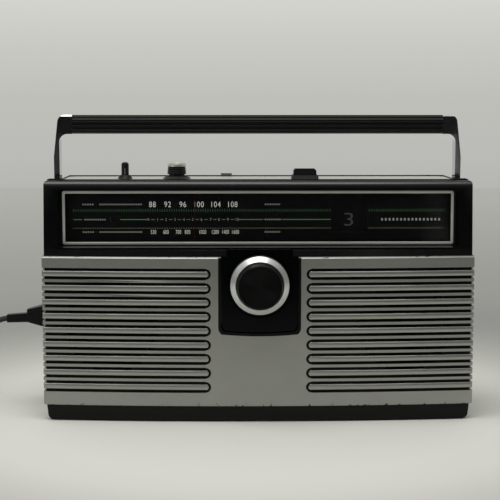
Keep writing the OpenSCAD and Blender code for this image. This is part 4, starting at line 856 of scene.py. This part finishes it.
@dataclass
class Studio:
    """Pale table top, soft light from above and the camera at the photograph's angle."""

    focal_mm: float = 93.3
    sensor_mm: float = 36.0
    camera_at: Point = (-22.6, -1199.8, 295.6)
    pitch_deg: float = 6.38
    yaw_deg: float = 0.7
    floor_radius: float = 3.5
    # The lamps: place and size in metres, power in watts.
    key_at: Point = (-0.2, -0.35, 1.9)
    key_size: Span = (1.5, 0.9)
    key_watts: float = 19.0
    fill_at: Point = (-1.5, -1.2, 0.9)
    fill_size: Span = (0.7, 1.0)
    fill_watts: float = 5.0
    lamp_aim: Point = (0.0, 0.0, 0.13)
    # The room's light by direction: a ceiling from dark to full, and a back that is paler than the front.
    ceiling_z: Span = (0.2, 0.9)
    ceiling: float = 1.55
    back_y: Span = (-0.6, 0.05)
    back: Span = (0.02, 0.95)
    sky: float = 0.55
    backdrop_z: Span = (-0.1, 0.4)  # directions over which the backdrop's tones run
    near_y: Span = (-0.95, -0.45)  # where mirror-like pieces see the table end, in metres
    near_dark: float = 0.05
    # The table's tone by distance from the player, as the eye sees it: painted shade darkens a ring behind the
    # player.
    floor_tones: tuple[tuple[float, str], ...] = (
        (0.0, "#d3d3ce"), (0.066, "#d2d2cd"), (0.08, "#cdcdc7"), (0.1, "#b8b8b3"), (0.116, "#aaaba6"),
        (0.135, "#9e9f9a"), (0.158, "#949592"), (0.183, "#939491"), (0.245, "#9e9f9b"), (0.326, "#a7a8a4"),
        (0.435, "#b4b5b2"), (0.59, "#c2c3c0"), (0.82, "#d1d2cf"), (1.0, "#d6d7d4"))
    # The backdrop's tone by direction, as the eye sees it: painted light, darker down by the table.
    backdrop_tones: tuple[tuple[float, str], ...] = (
        (0.0, "#b2b3ae"), (0.075, "#b5b6b1"), (0.12, "#babbb6"), (0.21, "#bebfb9"), (0.29, "#c8c9c3"),
        (0.36, "#d3d4ce"), (0.6, "#dcddd8"), (1.0, "#e2e3de"))
    sheet_slope: float = 0.149  # how far the painted bright patch on the floor leans to the left, away from the player
    sheet_x: Point = (0.148, 0.165, 0.205)  # where the bright patch starts, is at its full tone, and ends
    sheet_gain: float = 1.8  # the bright patch's brightness over the paper's

    def camera(self) -> None:
        """Makes the camera."""
        data = bpy.data.cameras.new("camera")
        data.lens = self.focal_mm
        data.sensor_width = self.sensor_mm
        data.clip_end = 50.0
        made = new_object("camera", data)
        made.location = at(*self.camera_at)
        made.rotation_euler = (math.radians(90 - self.pitch_deg), 0.0, math.radians(-self.yaw_deg))
        bpy.context.scene.camera = made

    def floor(self) -> None:
        """Makes the table top, a pale disc that darkens a little behind the player, as painted shade."""
        disc = bmesh.new()
        bmesh.ops.create_circle(disc, cap_ends=True, segments=96, radius=self.floor_radius)
        made = new_object("table_top", plain_mesh("table_top", disc))
        paper = bpy.data.materials.new("pale_paper_sweep")
        tree = bare_tree(paper)
        place = add(tree, "ShaderNodeTexCoord").outputs["Object"]
        far = add(tree, "ShaderNodeVectorMath", {0: place}, operation="LENGTH").outputs["Value"]
        share = add(tree, "ShaderNodeMath", {0: far, 1: self.floor_radius}, operation="DIVIDE")
        ramp = add(tree, "ShaderNodeValToRGB", {0: share})
        self.fill_ramp(ramp.color_ramp, self.floor_tones)
        # What lights the player is a paler paper than the eye sees, and mirror-like pieces see a dark
        # room past the near edge of the table.
        parts = add(tree, "ShaderNodeSeparateXYZ", {0: place}).outputs
        lit = add(tree, "ShaderNodeMapRange", {
            "Value": parts["Y"], "From Min": self.near_y[0], "From Max": self.near_y[1],
            "To Min": self.near_dark})
        # Painted light: a bright patch on the floor by the right shoulder, which the eye does not see, shows as a
        # reflection in the right end of the dial's glass.
        slant = add(tree, "ShaderNodeMath", {0: parts["Y"], 1: self.sheet_slope, 2: parts["X"]},
                    operation="MULTIPLY_ADD")
        starts, full, ends = self.sheet_x
        rise = add(tree, "ShaderNodeMapRange", {"Value": slant, "From Min": starts, "From Max": full})
        before = add(tree, "ShaderNodeMath", {0: slant, 1: ends}, operation="LESS_THAN")
        glint_patch = add(tree, "ShaderNodeMath", {0: rise, 1: before}, operation="MULTIPLY")
        bright = add(tree, "ShaderNodeMath", {0: glint_patch, 1: self.sheet_gain}, operation="MULTIPLY")
        lit = add(tree, "ShaderNodeMath", {0: lit, 1: bright}, operation="MAXIMUM")
        straight = add(tree, "ShaderNodeLightPath").outputs["Is Camera Ray"]
        unseen = add(tree, "ShaderNodeMix", {0: lit, 6: linear("#000000"), 7: linear("#f1f1ec")},
                     data_type="RGBA").outputs[2]
        seen = add(tree, "ShaderNodeMix", {0: straight, 6: unseen, 7: ramp}, data_type="RGBA").outputs[2]
        shader = add(tree, "ShaderNodeBsdfPrincipled", {
            "Base Color": seen, "Roughness": 0.75, "Specular IOR Level": 0.1})
        add(tree, "ShaderNodeOutputMaterial", {0: shader})
        made.data.materials.append(paper)

    @staticmethod
    def fill_ramp(ramp: bpy.types.ColorRamp, tones: Sequence[tuple[float, str]]) -> None:
        """Puts tones on a colour ramp.

        Args:
            ramp: the ramp.
            tones: each tone's place from 0 to 1 and its hex colour.
        """
        while len(ramp.elements) < len(tones):
            ramp.elements.new(0.5)
        for stop, (place, colour) in zip(ramp.elements, tones):
            stop.position = place
            stop.color = linear(colour)

    def world(self) -> None:
        """Makes the room: a pale backdrop for what sees it straight, light from above for the rest."""
        room = bpy.data.worlds.new("soft_room")
        tree = bare_tree(room)
        way = add(tree, "ShaderNodeTexCoord").outputs["Generated"]
        parts = add(tree, "ShaderNodeSeparateXYZ", {0: way}).outputs
        # What the eye sees: a backdrop that brightens upwards, as painted light from above.
        rise = add(tree, "ShaderNodeMapRange", {
            "Value": parts["Z"], "From Min": self.backdrop_z[0], "From Max": self.backdrop_z[1]})
        seen = add(tree, "ShaderNodeValToRGB", {0: rise})
        self.fill_ramp(seen.color_ramp, self.backdrop_tones)
        # What lights the object: a bright ceiling, a pale back and a dim front.
        above = add(tree, "ShaderNodeMapRange", {
            "Value": parts["Z"], "From Min": self.ceiling_z[0], "From Max": self.ceiling_z[1],
            "To Max": self.ceiling})
        behind = add(tree, "ShaderNodeMapRange", {
            "Value": parts["Y"], "From Min": self.back_y[0], "From Max": self.back_y[1],
            "To Min": self.back[0], "To Max": self.back[1]})
        most = add(tree, "ShaderNodeMath", {0: above, 1: behind}, operation="MAXIMUM")
        light = add(tree, "ShaderNodeMath", {0: most, 1: self.sky}, operation="MULTIPLY")
        straight = add(tree, "ShaderNodeLightPath").outputs["Is Camera Ray"]
        pale = add(tree, "ShaderNodeBackground", {"Color": seen, "Strength": 1.0})
        soft = add(tree, "ShaderNodeBackground", {"Color": linear("#fffefa"), "Strength": light})
        mixed = add(tree, "ShaderNodeMixShader", {0: straight, 1: soft, 2: pale})
        add(tree, "ShaderNodeOutputWorld", {0: mixed})
        bpy.context.scene.world = room

    def lamp(self, name: str, where: Point, size: Span, watts: float) -> None:
        """Makes one soft lamp that faces the player.

        Args:
            name: the lamp's name.
            where: its place in metres.
            size: its width and height in metres.
            watts: its power.
        """
        data = bpy.data.lights.new(name, "AREA")
        data.shape = "RECTANGLE"
        data.size, data.size_y = size
        data.energy = watts
        data.color = linear("#fefefc")[:3]
        made = new_object(name, data)
        made.location = where
        aim = Vector(self.lamp_aim) - made.location
        made.rotation_euler = aim.to_track_quat("-Z", "Y").to_euler()

    def build(self) -> None:
        """Builds the room, the lamps and the camera."""
        self.camera()
        self.floor()
        self.world()
        self.lamp("key", self.key_at, self.key_size, self.key_watts)
        self.lamp("fill", self.fill_at, self.fill_size, self.fill_watts)
        bpy.context.scene.view_settings.view_transform = "Standard"


# ---- The mains lead ----


def gentle(value: float) -> float:
    """Eases 0 to 1 with level ends."""
    value = min(1.0, max(0.0, value))
    return value * value * (3 - 2 * value)


@dataclass
class MainsLead:
    """Flat twin lead: out of the side, down to the table and wound in two layers behind the view."""

    wide: float = 5.6
    thick: float = 2.8
    centre: Span = (-320.0, 128.0)
    outer: float = 42.0
    plug_u: float = 176.0
    plug_z: float = 7.0
    # The plug's body along the lead: the place, half the width and half the height of each row.
    plug_rows: tuple[Point, ...] = (
        (-36, 2.2, 3.3), (-22, 2.7, 3.8), (-8, 3.6, 4.4), (0, 5.2, 5.4), (8, 10.5, 6.6), (18, 11.5, 6.9),
        (22, 11.5, 6.9))
    rib_pitch: float = 3.2
    blade_x: float = 6.35  # the blades' middles from the plug's middle
    blade_u: Span = (34, 52)  # from the lead's end
    blade_half: Span = (0.75, 3.1)  # half their thickness and half their height
    laps: int = 7
    # Where the winding steps by the lead's width: the lap, and -1 for inwards or 1 for outwards.
    steps: tuple[Span, ...] = ((0.86, -1), (1.86, -1), (2.86, -1), (4.48, 1), (5.48, 1), (6.48, 1))
    step_laps: float = 0.2  # how much of a lap a step takes
    climb_at: float = 3.72  # the lap at which the lead climbs onto the first layer
    climb_laps: float = 0.28
    knots_per_lap: int = 24
    knots_to_plug: int = 6
    spacing: float = 2.5  # between the points of the middle line
    # The middle line from the inlet down to the table and on to the winding.
    start: tuple[Point, ...] = (
        (-247, 70, 86.2), (-256, 70, 83.8), (-268, 70, 77), (-279, 70, 66.5), (-287, 70.5, 54), (-295, 72, 41),
        (-304, 75, 28), (-315, 76.5, 17), (-326, 78, 9), (-337, 80, 4.4), (-346.6, 81.9, 3.05),
        (-354.7, 87.3, 2.95), (-360.1, 95.4, 2.95), (-362, 105, 2.95), (-362, 116, 2.95))

    def coil_point(self, laps: float) -> Vector:
        """Gives the winding's point after a number of laps, clockwise from its left side.

        The first layer winds inwards; the lead then climbs, and the second layer winds out again.

        Args:
            laps: how many laps lie before the point.

        Returns:
            The point in millimetres as x, u, z.
        """
        shift = sum(way * gentle((laps - lap) / self.step_laps + 0.5) for lap, way in self.steps)
        radius = self.outer + self.wide * shift
        z = self.start[-1][2] + self.wide * gentle((laps - self.climb_at) / self.climb_laps + 0.5)
        angle = math.pi - 2 * math.pi * laps
        return Vector((self.centre[0] + radius * math.cos(angle), self.centre[1] + radius * math.sin(angle), z))

    def route(self) -> list[Vector]:
        """Draws the lead's middle line, closely spaced, from the relief to the plug.

        Returns:
            Its points in millimetres as x, u, z.
        """
        knots = [Vector(p) for p in self.start]
        knots += [self.coil_point(i / self.knots_per_lap) for i in range(self.laps * self.knots_per_lap + 1)]
        end = knots[-1]
        for i in range(1, self.knots_to_plug + 1):
            t = i / self.knots_to_plug
            drop = (self.plug_z - end.z) * gentle(t)
            knots.append(Vector((end.x, end.y + (self.plug_u - end.y) * t, end.z + drop)))
        line = []
        for i in range(len(knots) - 1):
            a, b, c, d = (knots[min(max(k, 0), len(knots) - 1)] for k in (i - 1, i, i + 1, i + 2))
            cuts = max(2, round((c - b).length / self.spacing))
            for j in range(cuts):
                t = j / cuts
                line.append(0.5 * ((2 * b) + (c - a) * t + (2 * a - 5 * b + 4 * c - d) * t * t
                                   + (3 * b - a - 3 * c + d) * t ** 3))
        line.append(knots[-1])
        return line

    def section(self, _: int) -> Loop:
        """Draws two cores side by side, with a groove between them.

        Args:
            _: the point's number on the path, which changes nothing here.

        Returns:
            The outline as (side, up) pairs.
        """
        core = self.wide / 4
        outline = []
        for i in range(20):
            angle = 2 * math.pi * i / 20
            up = core * (1 if math.sin(angle) >= 0 else -1) + core * math.sin(angle) * 0.98
            across = self.thick / 2 * math.cos(angle)
            if abs(math.sin(angle)) < 0.2:  # the waist between the cores
                up, across = core * 0.05 * math.copysign(1, math.sin(angle)), across * 0.62
            outline.append((across, up))
        return outline

    def plug(self) -> Piece:
        """Builds the two-pin plug on the lead's end: a tapered body with grip ribs and flat blades.

        Returns:
            The mounted plug.
        """
        x, u, z = self.centre[0] - self.outer, self.plug_u, self.plug_z
        body = Shape()
        path = [Vector((x, u + 13 + row[0], z)) for row in self.plug_rows]

        def outline(i: int) -> Loop:
            """Draws the rounded body at one row.

            Args:
                i: the row's number.

            Returns:
                The outline as (side, up) pairs.
            """
            _, half, tall = self.plug_rows[i]
            points = []
            for k in range(24):
                angle = 2 * math.pi * k / 24
                c, s = math.cos(angle), math.sin(angle)
                points.append((half * math.copysign(abs(c) ** 0.6, c), tall * math.copysign(abs(s) ** 0.6, s)))
            return points

        body.swept(path, outline, Vector((0, 0, 1)))
        # Grip ribs on the top of the body, each a little narrower than the one before.
        for i in range(4):
            half, near = 9 - i * 0.4, u + 20 + i * self.rib_pitch
            body.block((x - half, near, z + 6.4), (x + half, near + 1.4, z + 7.0))
        thick, tall = self.blade_half
        for side in (-self.blade_x, self.blade_x):
            body.block((x + side - thick, u + self.blade_u[0], z - tall),
                       (x + side + thick, u + self.blade_u[1], z + tall))
        made = body.finished("lead_plug", 0.5)
        return mount(made, VINYL, Body.CABINET, ("mains_plug",))

    def build(self) -> None:
        path = self.route()
        flex = Shape()
        flex.swept(path, self.section, Vector((0, 0, 1)))
        made = flex.finished("mains_lead")
        mount(made, VINYL, Body.CABINET, ("power_cord", "cord_coil"))
        plug = self.plug()


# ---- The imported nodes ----


@dataclass(frozen=True)
class Dress:
    """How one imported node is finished: its material and how far its edges are rounded."""

    finish: Finish
    edge_mm: float = 0.0
    edge_facets: int = 2
    ease_mm: float = 0.0  # how far the skin lies inside the solid, for a running fit


@dataclass
class PackedParts:
    """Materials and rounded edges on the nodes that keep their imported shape."""

    crease_deg: float = 28.0
    looks: tuple[tuple[Dress, str], ...] = (
        (Dress(BLACK_GLOSS, 0.9), "front_frame"),
        (Dress(SILVER_PAINT, 0.28), "grille_panel"),
        (Dress(BLACK_DEEP, 0.5), "escutcheon"),
        (Dress(BEZEL_TRIM, 0.5), "dial_bezel"),
        (Dress(ACRYLIC), "dial_glass"),
        (Dress(DIAL_BLACK), "dial_plate"),
        (Dress(POINTER_RED), "dial_pointer"),
        (Dress(STEEL), "pointer_rail tuning_shaft cartridge_bay door_pin deck_plate"),
        (Dress(THREAD), "dial_cord"),
        (Dress(NYLON), "cord_pulley_left cord_pulley_right"),
        (Dress(STEEL, 0.1), "tuning_chassis"),
        (Dress(NYLON, 0.2), "tuning_drum program_cam"),
        (Dress(STEEL, 0.2), "tuning_capacitor selector_switch volume_pot handle_pivots antenna_mount "
         "capstan_flywheel"),
        (Dress(TURNED_RIM, 0.3), "tuning_knob_ring"),
        (Dress(TURNED_CAP, 0.12), "tuning_knob_cap"),
        (Dress(DIAL_BLACK, 0.6), "program_display"),
        (Dress(BLACK_SATIN, 0.5), "rear_cabinet"),
        (Dress(BLACK_WORN, 0.5), "base_pan"),
        (Dress(RUBBER, 0.4), "feet"),
        (Dress(SILVER_PLATE, 0.15), "top_plate"),
        (Dress(BLACK_SATIN, 0.2), "control_collars selector_post ac_inlet"),
        (Dress(BLACK_SATIN, 0.1), "volume_knob"),
        (Dress(BLACK_SATIN, 0.3, ease_mm=0.06), "program_button"),
        (Dress(BLACK_SATIN), "program_switch battery_box"),
        (Dress(CHROME_ARM, 0.8, 3), "handle_arm_left handle_arm_right"),
        (Dress(CHROME, 0.2), "antenna_rod_1"),
        (Dress(CHROME), "antenna_rod_2 antenna_rod_3"),
        (Dress(ROD_TIP), "antenna_rod_4"),
        (Dress(CONE_PAPER), "speaker_left speaker_right"),
        (Dress(BOARD_PAPER), "main_board"),
        (Dress(FERRITE), "ferrite_rod"),
        (Dress(STEEL, 0.3), "power_transformer drive_motor"),
        (Dress(BLACK_SATIN, 0.3), "battery_lid cartridge_door"),
        (Dress(BRASS), "motor_pulley"),
        (Dress(RUBBER), "drive_belt"),
        (Dress(STEEL, 0.15), "tape_head"),
        (Dress(BLACK_WORN, 0.3), "ac_connector"),
    )

    def build(self) -> None:
        """Dresses each node that is shown."""
        shading = shading_tree()
        for look, names in self.looks:
            for name in names.split():
                self.dress(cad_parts[name], look, shading)

    def dress(self, node: Piece, look: Dress, shading: Growth) -> None:
        """Gives one node its material and its modifiers.

        Args:
            node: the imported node.
            look: how it is finished.
            shading: the tree that smooths its faces.
        """
        node.data.materials.clear()
        node.data.materials.append(look.finish.material())
        shading.attach(node, {"Crease": math.radians(self.crease_deg)})
        if look.edge_mm:
            round_edges(node, look.edge_mm, look.edge_facets)
        if look.ease_mm:
            ease = node.modifiers.new("ease", "DISPLACE")
            ease.mid_level = 0.0
            ease.strength = -look.ease_mm * MM
        LOG.info("%s: dressed in %s", node.name, look.finish.name)


# ---- The dial ----


class Row(Enum):
    """The printed rows of the dial."""

    UPPER = "upper"
    MIDDLE = "middle"
    LOWER = "lower"


@dataclass
class Dial:
    """What is printed on the dial plate: numbers, ticks, lines and the lamp's place."""

    face_u: float = 18.3
    upper_z: float = 202.7
    middle_z: float = 188.4
    lower_z: float = 176.6
    upper_numbers: tuple[tuple[str, float], ...] = (
        ("88", -99.6), ("92", -85.3), ("96", -71.0), ("100", -56.2), ("104", -40.3), ("108", -24.4))
    middle_numbers: tuple[float, ...] = (
        -103.5, -94.9, -86.8, -78.4, -70.0, -61.7, -53.5, -44.9, -37.0, -28.6, -20.1)
    lower_numbers: tuple[tuple[str, float], ...] = (
        ("530", -98.8), ("600", -87.0), ("700", -75.3), ("800", -66.7), ("1000", -52.6), ("1200", -40.7),
        ("1400", -31.0), ("1600", -21.7))
    upper_size: Span = (5.1, 0.84)  # height and width factor of the digits
    middle_size: Span = (2.5, 0.9)
    lower_size: Span = (3.7, 0.6)
    tick_spans: tuple[Span, ...] = ((-173.9, 69.0), (104.9, 175.2))
    tick_pitch: float = 2.26
    tick: Span = (0.32, 2.5)  # width and height
    dot: Span = (0.34, 0.9)
    dash: Span = (3.4, 0.4)
    line_tall: float = 0.5
    mark_tall: Span = (1.3, 2.2)  # height of the small print, on the left and by the display
    mark_pitch: float = 1.6  # from one mark to the next, in heights
    mark_fill: float = 0.45  # a mark's width, as a share of the pitch
    print_mm: float = 0.12  # how far the print stands out, so that it shows
    tick_z: float = 197.0
    dot_z: float = 180.2
    line_spans: tuple[Span, ...] = ((-173.9, -165.9), (-130.0, -104.6), (-18.7, 4.6), (22.8, 68.4))
    lamp_at: Span = (-136.9, 188.6)  # middle of the stereo lamp as x, z
    lamp_profile: tuple[Span, ...] = ((0, 0.9), (2.4, 0.8), (3.2, 0.2), (3.2, -0.6), (0, -0.6))
    program_at: Point = (85.7, 20.2, 188.3)  # middle of the program number
    program_tall: float = 12.2
    program_wide: float = 1.4
    mark_spans: tuple[tuple[float, float, Row], ...] = (
        (-165.9, -154.6, Row.UPPER), (-149.9, -109.3, Row.UPPER), (-164.0, -143.3, Row.MIDDLE),
        (-165.9, -154.6, Row.LOWER), (-149.9, -109.3, Row.LOWER), (5.8, 20.9, Row.UPPER),
        (5.8, 21.8, Row.MIDDLE), (5.8, 20.9, Row.LOWER), (115.2, 172.8, Row.MIDDLE))

    def bars(self, rows: Growth, name: str, first: Span, count: int, step: float, size: Span,
             finish: Finish) -> None:
        """Lays one printed row of bars and mounts it on the plate.

        Args:
            rows: the tree that lays bars.
            name: the piece's name.
            first: the first bar's middle as x, z.
            count: how many bars there are.
            step: from one bar's middle to the next.
            size: a bar's width and height.
            finish: its ink.
        """
        made = rows.grow(name, {
            "Count": count, "First": tuple(at(first[0], self.face_u, first[1])), "Step": (step * MM, 0.0, 0.0),
            "Bar Size": (size[0] * MM, self.print_mm * MM, size[1] * MM), "Finish": finish.material()})
        mount(made, finish)

    def numbers(self) -> None:
        """Prints the three rows of plain numbers."""
        log = [(str(i), x) for i, x in enumerate(self.middle_numbers)]
        for row, numbers, (tall, wide), z, finish in (
                (Row.UPPER, self.upper_numbers, self.upper_size, self.upper_z, INK_WHITE),
                (Row.LOWER, self.lower_numbers, self.lower_size, self.lower_z, INK_WHITE),
                (Row.MIDDLE, log, self.middle_size, self.middle_z, INK_PALE)):
            meshes = [mesh_of_text(words, tall, wide, (x, self.face_u, z)) for words, x in numbers]
            mount(joined(f"dial_numbers_{row.value}", meshes), finish)

    def build(self) -> None:
        """Prints everything on the plate."""
        self.numbers()
        rows = bar_row_tree()
        heights = {Row.UPPER: self.upper_z, Row.MIDDLE: self.middle_z, Row.LOWER: self.lower_z}
        for i, (low, high) in enumerate(self.tick_spans):
            count = int((high - low) / self.tick_pitch) + 1
            for name, z, size, finish in (("dial_ticks_upper", self.tick_z, self.tick, INK_GREEN),
                                          ("dial_dots_lower", self.dot_z, self.dot, INK_CREAM)):
                self.bars(rows, f"{name}_{i}", (low, z), count, self.tick_pitch, size, finish)
        for i, (low, high) in enumerate(self.line_spans):
            self.bars(rows, f"dial_line_{i}", ((low + high) / 2, self.middle_z), 1, 0.0,
                      (high - low, self.line_tall), INK_LINE)
        for i, (low, high) in enumerate(zip(self.middle_numbers, self.middle_numbers[1:])):
            self.bars(rows, f"dial_dash_{i}", ((low + high) / 2, self.middle_z), 1, 0.0, self.dash, INK_LINE)
        for i, (low, high, row) in enumerate(self.mark_spans):
            tall = self.mark_tall[1 if low > self.line_spans[-1][1] else 0]
            count = max(2, round((high - low) / (tall * self.mark_pitch)))
            step = (high - low) / count
            self.bars(rows, f"dial_mark_{i}", (low + step / 2, heights[row]), count, step,
                      (step * self.mark_fill, tall), INK_PALE)
        x, z = self.lamp_at
        lamp = Shape()
        lamp.turned(self.lamp_profile, lambda a, b, h: (x + a, self.face_u - h, z + b))
        mount(lamp.finished("stereo_lamp"), LENS_DARK)
        number = mesh_of_text("3", self.program_tall, self.program_wide, self.program_at)
        mount(joined("window_number", [number]), NUMERAL_DIM)


# ---- The handle, the controls and the back ----


@dataclass
class CarryHandle:
    """The fluted bar between the handle's arms."""

    half: float = 177.5
    depth_u: float = 55.0
    height_z: float = 277.2
    radius: float = 9.05
    flutes: int = 16
    flute_deep: float = 0.85

    def build(self) -> None:
        """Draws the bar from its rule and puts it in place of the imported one."""
        bar = fluted_tree().grow("grip_bar", {
            "Start": tuple(at(-self.half, self.depth_u, self.height_z)),
            "End": tuple(at(self.half, self.depth_u, self.height_z)), "Radius": self.radius * MM,
            "Flutes": self.flutes, "Flute Depth": self.flute_deep * MM, "Finish": BLACK_WORN.material()})
        for face in bar.data.polygons:
            face.use_smooth = abs(face.normal.x) < 0.5
        mount(bar, BLACK_WORN, Body.HANDLE, nodes=("handle_grip",))


@dataclass
class TopControls:
    """Small fittings on the controls along the top edge."""

    depth_u: float = 60.0
    volume_x: float = -78.3
    selector_x: float = -128.4
    band_profile: tuple[Span, ...] = (
        (0, 239.3), (6.6, 239.3), (6.9, 239.6), (7.7, 239.6), (8.75, 238.6), (8.9, 236.6), (8.0, 236.5),
        (0, 236.5))
    mark_half: float = 0.7
    mark_u: Span = (-3.72, -3.2)  # from the selector's axis
    mark_z: Span = (228.8, 235.0)

    def build(self) -> None:
        """Adds the cream band of the volume knob and the selector's dim mark."""
        band = Shape()
        band.turned(self.band_profile, lambda a, b, h: (self.volume_x + a, self.depth_u + b, h))
        mount(band.finished("volume_band"), CREAM_TRIM, Body.VOLUME)
        mark = Shape()
        x, u = self.selector_x, self.depth_u
        mark.block((x - self.mark_half, u + self.mark_u[0], self.mark_z[0]),
                   (x + self.mark_half, u + self.mark_u[1], self.mark_z[1]))
        mount(mark.finished("selector_mark"), NUMERAL_DIM, Body.SELECTOR)


@dataclass
class RearFittings:
    """Screws in the back."""

    back_u: float = 118.35  # middle of the screw heads
    head_radius: float = 3.4
    head_tall: float = 1.5
    screws: tuple[Span, ...] = (
        (-186, 30), (-186, 164), (78, 30), (178, 30), (-60, 211), (60, 211), (-60, 156), (178, 164))

    def build(self) -> None:
        """Sets the screws into the back."""
        points = [at(x, self.back_u, z) for x, z in self.screws]
        made = screw_tree().grow("back_screws", {
            "Head Radius": self.head_radius * MM, "Head Height": self.head_tall * MM,
            "Turn": (math.radians(-90), 0.3, 0.0), "Finish": STEEL.material()}, points)
        mount(made, STEEL, Body.CABINET)


def main() -> None:
    """Builds the room and every piece in order."""
    logging.basicConfig(level=logging.INFO, format="%(name)s %(message)s")
    Studio().build()
    MainsLead().build()
    PackedParts().build()
    for assembly in (Dial(), CarryHandle(), TopControls(), RearFittings()):
        assembly.build()


if __name__ == "__main__":
    main()
